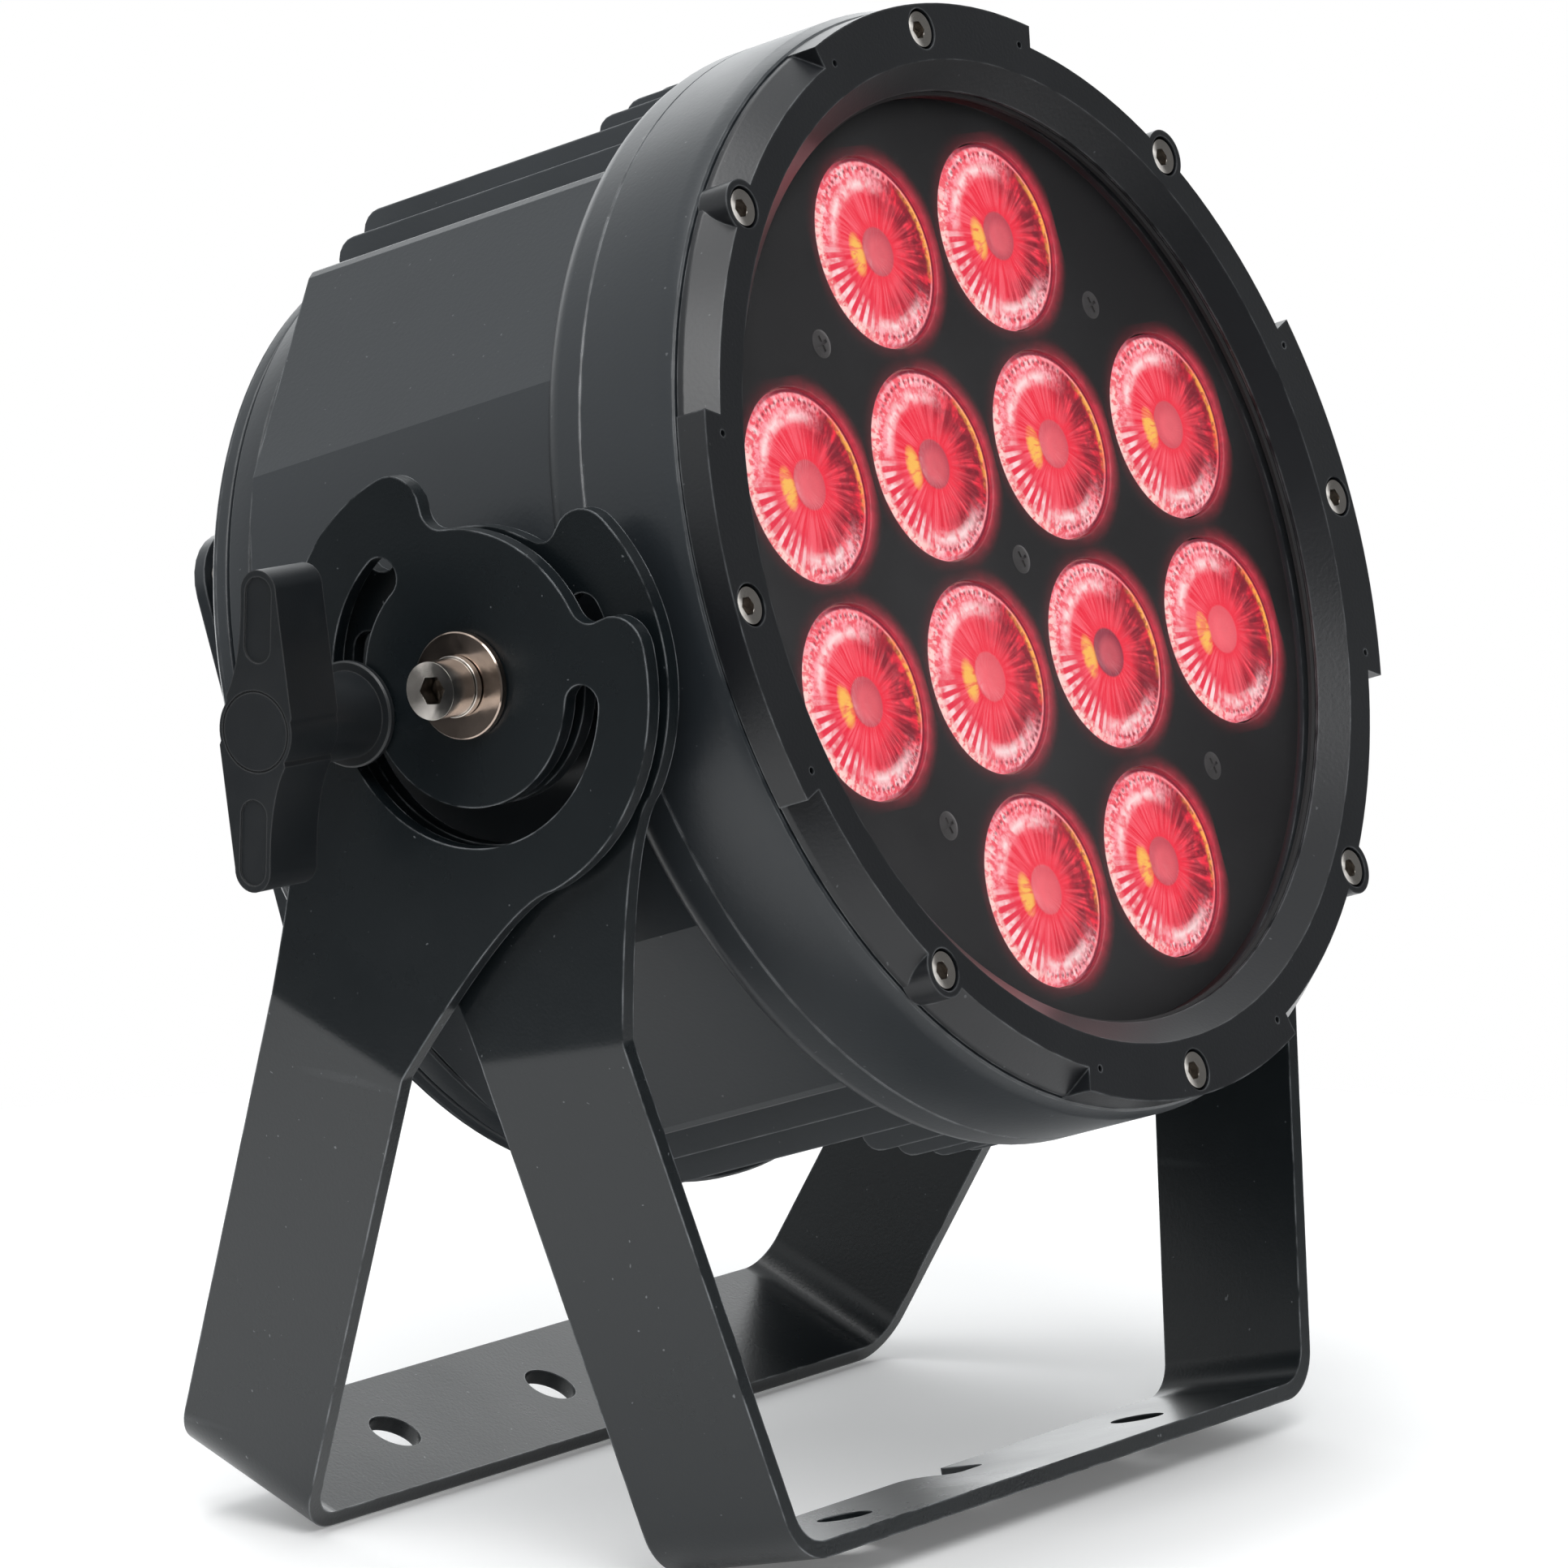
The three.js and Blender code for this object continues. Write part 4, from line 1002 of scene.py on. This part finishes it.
def control_panel():
    """Control box on the lid, with a flange, a framed window and recessed wells."""
    bm = bmesh.new()
    slab(bm, rounded_rectangle(*PANEL_HALF, 8), [], PANEL_FRONT, FLANGE_FRONT, along_y)
    holes = [circle(5.4, centre, 32) for centre in BUTTONS]
    holes += [circle(9.4, centre, 40) for centre in GLANDS.values()]
    holes += [circle(2.4, centre, 20) for centre in PANEL_SCREWS]
    holes += [circle(6.4, VENT, 32), window_outline(0, 2)]
    slab(bm, rounded_rectangle(*FLANGE_HALF, 14), holes, FLANGE_FRONT, PANEL_BACK, along_y)
    piece = soften(object_from("control_panel_fine", bm, HEAD), 0.5, 3, 35)
    finish_piece(piece, "cast", "head", "control_panel")
    bm = bmesh.new()
    slab(bm, window_outline(0.4, 1.5), [], FLANGE_FRONT + 0.2, PANEL_BACK - 0.6, along_y)
    pane = soften(object_from("display_fine", bm, HEAD), 0.3, 2, 35)
    finish_piece(pane, "window", "head", "display")


def window_outline(smaller, radius):
    """Outline of the display window, or of a pane that is smaller all round."""
    half_width, half_height = DISPLAY["half"]
    x, z = DISPLAY["centre"]
    points = rounded_rectangle(half_width - smaller, half_height - smaller, radius)
    return [(x + u, z + v) for u, v in points]


def glands():
    for name, (x, z) in GLANDS.items():
        bm = bmesh.new()
        rim = GLAND_RADIUS
        slab(bm, hexagon(21.6), [], PANEL_BACK + GAP, 177.5, along_y)
        revolve(bm, [(0, 177), (rim - 0.1, 177), (rim, 178), (rim, 181.5), (rim - 0.3, 182.4), (6.9, 186),
                     (6.2, 186.5), (3.9, 186.5), (3.4, 186.0), (3.4, 184.6), (0, 184.6)], 48)
        rib = [(rim - 0.4, -0.45), (rim + 0.4, -0.3), (rim + 0.4, 0.3), (rim - 0.4, 0.45)]
        for k in range(GLAND_RIBS):
            outline = [turned(corner, k * 2 * math.pi / GLAND_RIBS) for corner in rib]
            slab(bm, outline, [], 178, 181.4, along_y)
        bm.transform(millimetres(head_at(x, z)))
        piece = soften(object_from(name + "_fine", bm, Matrix()), 0.25, 2, 40)
        finish_piece(piece, "nylon", "head", name)


def vent_plug():
    bm = bmesh.new()
    rim = VENT_RADIUS
    slab(bm, rounded(hexagon(15.2), 1.2), [], PANEL_BACK + GAP, 174.2, along_y)
    revolve(bm, [(0, 173.8), (rim, 173.8), (rim, 174.8), (rim - 0.6, 175.4), (0, 175.4)], 40)
    piece = soften(object_from("vent_plug_fine", bm, head_at(*VENT)), 0.2, 2, 40)
    finish_piece(piece, "nylon", "head", "vent_plug")


def menu_buttons():
    for k, (x, z) in enumerate(BUTTONS, 1):
        bm = bmesh.new()
        rim = BUTTON_RADIUS
        revolve(bm, [(0, 168), (rim, 168), (rim, 173.2), (rim - 0.4, 173.8), (rim - 1.2, 174.0),
                     (rim - 2, 173.8), (0, 173.5)], 40)
        piece = shade_round(object_from(f"menu_button_fine_{k}", bm, head_at(x, z)), 40)
        finish_piece(piece, "rubber", f"menu_button_{k}", f"menu_button_{k}")


def panel_screws():
    """Dome heads on the lamp's side of the flange ears."""
    for k, (x, z) in enumerate(PANEL_SCREWS, 1):
        bm = bmesh.new()
        dome = [(SCREW_DOME * math.sin(a), 169.0 - 2.8 * math.cos(a))
                for a in steps_between(0, math.pi / 2, 8)]
        revolve(bm, [*dome, (2.0, 169.05), (2.0, 172.3), (0, 172.3)], 40)
        piece = shade_round(object_from(f"panel_screw_fine_{k}", bm, head_at(x, z)), 50)
        finish_piece(piece, "screw", "head", f"panel_screw_{k}")


# ---- pivot hardware and knobs -------------------------------------------------------------------

def pivot_hardware():
    """Washers, bolts and the friction rings between the yoke heads."""
    outer = YOKE_FACE["outer_yoke"]
    ring_front, ring_back = YOKE_FACE["inner_yoke"] + GAP, outer - STRAP - GAP
    for side in SIDES:
        place = side_frame(PIVOT, side)
        rim = WASHER_RADIUS
        washer = [(M8_CLEAR, outer + 0.3), (rim - 0.2, outer + 0.3), (rim, outer + 0.5), (rim, outer + 2.0),
                  (rim - 0.3, outer + 2.3), (M8_CLEAR + 0.2, outer + 2.3), (M8_CLEAR, outer + 2.1)]
        turned_piece(f"pivot_washer_fine_{side}", place, washer, "washer", f"pivot_washer_{side}", 72, 40)
        rim = FRICTION_RADIUS
        spacer = [(M8_CLEAR, ring_front), (rim - 0.4, ring_front), (rim, ring_front + 0.4),
                  (rim, ring_back - 0.4), (rim - 0.4, ring_back), (M8_CLEAR, ring_back)]
        turned_piece(f"friction_ring_fine_{side}", place, spacer, "nylon", f"friction_ring_{side}", 72, 40)
        pivot_bolt(side, place, outer + 2.6)


def socketed(bm, radius, flats, face, floor, base, turn=0.0):
    """Screw head from its face to its base, with a hexagon socket down to the floor."""
    slab(bm, circle(radius, sides=48), [hexagon(flats, turn=turn)], min(face, floor), max(face, floor),
         along_y)
    slab(bm, circle(radius, sides=48), [], min(floor, base), max(floor, base), along_y)
    bmesh.ops.remove_doubles(bm, verts=bm.verts, dist=0.001)
    sunk = radius * 0.12 * (1 if base > face else -1)
    for vert in bm.verts:
        if abs(vert.co.y - face) < 0.01 and math.hypot(vert.co.x, vert.co.z) < flats * 0.65:
            vert.co.y += sunk


def pivot_bolt(side, place, seat):
    """Cap-head bolt with a split spring washer under its head."""
    head, spring = BOLT_HEAD, SPRING_WASHER
    bm = bmesh.new()
    socketed(bm, head["radius"], head["flats"], seat + head["height"], seat + head["socket"], seat + 2.1,
             head["turn"])
    piece = soften(object_from(f"pivot_bolt_fine_{side}", bm, place), 0.55, 3, 60)
    finish_piece(piece, "screw", "head", f"pivot_bolt_{side}")
    bm = bmesh.new()
    slab(bm, circle(M8_RADIUS, sides=32), [], seat - 6, seat + 2.2, along_y)
    shank = soften(object_from(f"pivot_bolt_shank_{side}", bm, place), 0)
    finish_piece(shank, "screw", "head")
    bm = bmesh.new()
    ring = arc((0, 0), spring["outer"], 0.12, 2 * math.pi - 0.12, 60)
    ring += arc((0, 0), spring["inner"], 2 * math.pi - 0.16, 0.16, 40)
    slab(bm, ring, [], seat + 0.05, seat + spring["top"], along_y)
    finish_piece(soften(object_from(f"spring_washer_{side}", bm, place), 0.2, 2, 40), "screw", "head")


def wing_outline():
    """Half-turn symmetric outline: a boss with a lobe up and a lobe down."""
    boss, distance, tip = 10, 31, 4.9
    points = []
    for sign in (1, -1):
        start = 0 if sign > 0 else math.pi
        end = (sign * tip, sign * distance)
        points += quadratic((sign * 8.4, sign * 7), (sign * 4.2, sign * 15), end, 10)
        points += arc((0, sign * distance), tip, start, start + math.pi, 16)[1:]
        points.append((-sign * boss * 0.985, sign * 4))
        points += arc((0, 0), boss, start + math.pi * 0.9, start + math.pi * 1.2, 8)
    return points


def stadium(centre, half_length, radius):
    x, z = centre
    straight = half_length - radius
    return (arc((x, z + straight), radius, 0, math.pi, 16)
            + arc((x, z - straight), radius, math.pi, 2 * math.pi, 16))


def lock_knob(side):
    """Clamping knob: stud, hub with a skirt, wing with recessed panels and a ringed cap."""
    outer = YOKE_FACE["outer_yoke"]
    place = side_frame(STUD, side) @ Matrix.Rotation(-KNOB_TILT, 4, "Y")
    bm = bmesh.new()
    slab(bm, wing_outline(), [], KNOB_WING_BACK, KNOB_TOP, along_y)
    piece = object_from(f"lock_knob_fine_{side}", bm, place)
    recess = bmesh.new()
    for sign in (1, -1):
        slab(recess, stadium((0, sign * 24.8), 9.6, 3.6), [], KNOB_TOP - 0.45, KNOB_TOP + 1, along_y)
    revolve(recess, [(8.7, KNOB_TOP - 0.35), (9.15, KNOB_TOP - 0.35), (9.15, KNOB_TOP + 1),
                     (8.7, KNOB_TOP + 1)], 64, closed=True)
    cut(piece, recess)
    hub = bmesh.new()
    revolve(hub, [(0, outer + 0.4), (11.6, outer + 0.4), (12, outer + 0.8), (12, outer + 1.9),
                  (11.6, outer + 2.3), (HUB_RADIUS, outer + 2.3), (HUB_RADIUS, 169), (0, 169)], 64)
    cut(piece, hub, union=True)
    stud = bmesh.new()
    revolve(stud, [(0, 118), (M8_RADIUS, 118), (M8_RADIUS, outer + 1), (0, outer + 1)], 32)
    cut(piece, stud, union=True)
    soften(piece, 0.7, 3, 40)
    finish_piece(piece, "nylon", f"lock_knob_{side}", f"lock_knob_{side}")


# ---- yokes --------------------------------------------------------------------------------------

def head_side():
    """One side of an arm's head as (across, along) points, from its top down to the arm."""
    points = [polar_flat(CUT_RADIUS, a) for a in steps_between(math.pi, HEEL_ANGLE, 8)]
    points += quarter(HEEL_ANGLE, CUT_RADIUS + HEEL_ROUND, HEEL_ROUND, inwards=True)[1:]
    points += quarter(LOBE_ANGLE, DISC_RADIUS - LOBE_ROUND, LOBE_ROUND, inwards=False)
    points += [polar_flat(DISC_RADIUS, a) for a in steps_between(LOBE_ANGLE, NECK_START, 36)[1:]]
    return points


def quarter(angle, distance, radius, inwards):
    """Quarter round on the head's outline: from its inner side to its flank, or flank to rim."""
    centre = Vector(polar_flat(distance, angle))
    out = Vector(polar_flat(1, angle))
    onward = Vector(polar_flat(1, angle - math.pi / 2))
    first, second = (-out, onward) if inwards else (-onward, out)
    turns = steps_between(0, math.pi / 2, 7)
    return [tuple(centre + radius * (first * math.cos(a) + second * math.sin(a))) for a in turns]


def polar_flat(radius, angle):
    """(across, along): angle from straight down the arm, along positive down the arm."""
    return (radius * math.sin(angle), radius * math.cos(angle))


def steps_between(start, end, count):
    return [start + (end - start) * k / count for k in range(count + 1)]


def strap_edge(bend):
    """One edge of a yoke's arm, from the head's top to where the arm runs straight."""
    side = head_side()
    neck = side[-1]
    control = (neck[0] + NECK_PULL[0], neck[1] + NECK_PULL[1])
    return side + quadratic(neck, control, (STRAP_WIDTH / 2, bend), 14)[1:]


def arc_slot():
    points = [polar_flat(SLOT_CENTRE + SLOT_HALF, a) for a in steps_between(-SLOT_REACH, SLOT_REACH, 64)]
    end = polar_flat(SLOT_CENTRE, SLOT_REACH)
    points += slot_end(end, SLOT_REACH, 1)
    points += [polar_flat(SLOT_CENTRE - SLOT_HALF, a) for a in steps_between(SLOT_REACH, -SLOT_REACH, 56)]
    points += slot_end(polar_flat(SLOT_CENTRE, -SLOT_REACH), -SLOT_REACH, -1)
    return points


def slot_end(centre, reach_angle, sign):
    """The half round that closes a slot's end, without its two end points."""
    out = Vector(polar_flat(1, reach_angle))
    along = Vector(polar_flat(1, reach_angle + sign * math.pi / 2))
    points = []
    for k in range(1, 12):
        a = k * math.pi / 12
        radial = math.cos(a) * sign
        points.append(tuple(Vector(centre) + SLOT_HALF * (out * radial + along * math.sin(a))))
    return points


class StrapPath:
    """Middle line of the bent strap: straight runs joined by round bends."""

    def __init__(self, corners, radii):
        self.runs = []
        self.length = 0.0
        point = Vector(corners[0])
        for k in range(1, len(corners)):
            corner = Vector(corners[k])
            heading = (corner - point).normalized()
            if k == len(corners) - 1:
                self.straight(point, heading, (corner - point).length)
                break
            onward = (Vector(corners[k + 1]) - corner).normalized()
            turn = heading.angle(onward)
            tangent = radii[k - 1] * math.tan(turn / 2)
            self.straight(point, heading, (corner - point).length - tangent)
            start = corner - heading * tangent
            inward = Vector((-heading.y, heading.x))
            self.runs.append((self.length, radii[k - 1] * turn, start, heading, inward, radii[k - 1]))
            self.length += radii[k - 1] * turn
            point = corner + onward * tangent

    def straight(self, point, heading, length):
        self.runs.append((self.length, length, point, heading, None, None))
        self.length += length

    def at(self, s):
        """Point and outward normal at a distance along the strap."""
        chosen = self.runs[0]
        for run in self.runs:
            if s >= run[0]:
                chosen = run
        begin, _, point, heading, inward, radius = chosen
        along = s - begin
        if inward is None:
            return point + heading * along, Vector((heading.y, -heading.x))
        angle = along / radius
        centre = point + inward * radius
        where = centre + radius * (heading * math.sin(angle) - inward * math.cos(angle))
        return where, heading * math.sin(angle) - inward * math.cos(angle)

    def stations(self):
        """Distances at which the flat plate is cut so that it can bend."""
        cuts = []
        for begin, length, _, _, inward, radius in self.runs:
            if inward is None:
                cuts.append(begin)
                continue
            count = max(3, round(math.degrees(length / radius) / 6))
            cuts += [begin + length * k / count for k in range(count + 1)]
        return cuts[1:]


def yoke_path(name):
    spec = YOKES[name]
    middle = STRAP / 2
    half, foot = YOKE_FACE[name] - middle, spec["foot"] - middle
    bottom = -(yoke_drop(name) - middle)
    corners = [(-half, 0), (-half, -spec["bend"]), (-foot, bottom),
               (foot, bottom), (half, -spec["bend"]), (half, 0)]
    return StrapPath(corners, BEND_RADII)


def notch_edge(middle):
    """The open-ended slot in the crossbar's rear edge, as (across, along) points."""
    edge, half = STRAP_WIDTH / 2, FOOT_HOLE
    flare = quadratic((edge, middle - half - NOTCH_FLARE), (edge, middle - half),
                      (edge - NOTCH_FLARE, middle - half), 8)
    closed = rounded([(edge - NOTCH_FLARE, middle - half), (NOTCH_END, middle - half),
                      (NOTCH_END, middle + half), (edge, middle + half)], [0, 3, 3, 0], 5, closed=False)
    return flare + closed[1:]


def yoke(name, notched):
    """A yoke cut as one flat strap with its slots and holes, then bent to shape."""
    path = yoke_path(name)
    middle = path.length / 2
    edge = strap_edge(YOKES[name]["bend"])
    far = [(across, path.length - along) for across, along in reversed(edge)]
    rear = edge + (notch_edge(middle) if notched else []) + far
    front = [(-across, along) for across, along in reversed(edge + far)]
    outline = rear + front[1:-1]
    slot = arc_slot()
    holes = [slot, [(across, path.length - along) for across, along in slot]]
    holes += [circle(M8_CLEAR, sides=28), circle(M8_CLEAR, (0, path.length), 28)]
    pitches = (-FOOT_PITCH, FOOT_PITCH) if notched else (-FOOT_PITCH, 0, FOOT_PITCH)
    holes += [circle(FOOT_HOLE, (0, middle + x), 48) for x in pitches]
    bm = bmesh.new()
    slab(bm, outline, holes, -STRAP / 2, STRAP / 2, lambda u, v, t: (u, v, t))
    for station in path.stations():
        geometry = bm.verts[:] + bm.edges[:] + bm.faces[:]
        bmesh.ops.bisect_plane(bm, geom=geometry, dist=1e-5, plane_co=(0, station, 0),
                               plane_no=(0, 1, 0))
    for vertex in bm.verts:
        across, along, out = vertex.co
        point, normal = path.at(along)
        vertex.co = (point.x + normal.x * out, across, point.y + normal.y * out)
    bm.transform(millimetres(yoke_frame(name)))
    piece = soften(object_from(name + "_fine", bm, Matrix()), 0.5, 3, 35)
    finish_piece(piece, "yoke", name, name)


# ---- pieces that stay as they are ---------------------------------------------------------------

def hidden_pieces():
    for node, look in {"led_board": "board", "heat_spreader": "aluminium",
                       "power_supply": "aluminium"}.items():
        mesh = frame["nodes"][node].data
        mesh.materials.clear()
        mesh.materials.append(LOOKS[look])


# ---- studio -------------------------------------------------------------------------------------

def camera():
    azimuth, elevation = math.radians(VIEW_AZIMUTH), math.radians(VIEW_ELEVATION)
    back = Vector((math.sin(azimuth) * math.cos(elevation), -math.cos(azimuth) * math.cos(elevation),
                   math.sin(elevation)))
    right = Vector((0, 0, 1)).cross(back).normalized()
    made = bpy.data.objects.new("camera", bpy.data.cameras.new("camera"))
    bpy.context.scene.collection.objects.link(made)
    made.matrix_world = axes(right, back.cross(right), back, FACE_CENTRE + CAMERA_FROM_FACE)
    made.data.lens = LENS
    made.data.sensor_width = 36
    made.data.clip_end = 50
    bpy.context.scene.camera = made


def floor():
    bm = bmesh.new()
    bmesh.ops.create_circle(bm, cap_ends=True, segments=ROUND, radius=FLOOR_RADIUS)
    plane = object_from("floor", bm, Matrix.Translation((0, 0, cad_box[0].z - 0.0003)))
    look, _, shader = new_look("floor_paper", (0.93, 0.93, 0.93), 0.9)
    shader.inputs["Emission Color"].default_value = (1, 1, 1, 1)
    shader.inputs["Emission Strength"].default_value = 0.14
    plane.data.materials.append(look)


def area_light(name, location, size, power):
    light = bpy.data.lights.new(name, "AREA")
    light.shape = "DISK"
    light.size = size
    light.energy = power
    obj = bpy.data.objects.new(name, light)
    bpy.context.scene.collection.objects.link(obj)
    obj.location = location
    obj.rotation_euler = (LIGHT_TARGET - Vector(location)).to_track_quat("-Z", "Y").to_euler()


def toward(tree, direction, target, low, high):
    """0 to 1 as a direction turns towards a target direction."""
    values = {0: direction, 1: tuple(Vector(target).normalized())}
    share = add(tree, "VectorMath", values, operation="DOT_PRODUCT").outputs["Value"]
    return spread(tree, share, low, high)


def sky():
    """White seen directly. Reflected: a white backdrop, a bright ceiling behind, a dim room."""
    world = bpy.data.worlds.new("studio")
    bpy.context.scene.world = world
    world.use_nodes = True
    tree = world.node_tree
    tree.nodes.clear()
    direction = add(tree, "TexCoord").outputs["Generated"]
    backdrop = toward(tree, direction, (0.82, 0.57, 0.02), 0.58, 0.84)
    ceiling = toward(tree, direction, (-0.10, 0.45, 0.89), 0.25, 0.55)
    ceiling = maths(tree, "MULTIPLY", ceiling, CEILING)
    level = maths(tree, "MAXIMUM", maths(tree, "MULTIPLY", backdrop, BACKDROP), ceiling)
    level = maths(tree, "MAXIMUM", level, DIM_ROOM)
    soft = add(tree, "Background", {"Color": (0.97, 0.99, 1.0, 1), "Strength": level})
    plain = add(tree, "Background", {"Color": (1, 1, 1, 1), "Strength": 1.0})
    seen = add(tree, "LightPath").outputs["Is Camera Ray"]
    both = add(tree, "MixShader", {0: seen, 1: soft.outputs[0], 2: plain.outputs[0]})
    add(tree, "OutputWorld", {"Surface": both.outputs[0]})


def studio():
    sky()
    area_light("key", (-1.05, -0.95, 1.95), 1.5, 27)
    area_light("top", (-0.2, 0.4, 2.4), 1.2, 14)
    bpy.context.scene.view_settings.view_transform = "Standard"
    floor()
    camera()


housing()
bezel()
glass_and_gasket()
lens_plate()
repeated(one_lens, "lens_fine", lens_centres(), "lens", "lens")
repeated(bezel_screw, "bezel_screw_fine", screw_centres(), "screw", "bezel_screw")
repeated(plate_screw, "plate_screw_fine", plate_screw_centres(), "plate_screw", "plate_screw")
rear_cover()
control_panel()
glands()
vent_plug()
menu_buttons()
panel_screws()
pivot_hardware()
for knob_side in SIDES:
    lock_knob(knob_side)
yoke("outer_yoke", False)
yoke("inner_yoke", True)
hidden_pieces()
studio()
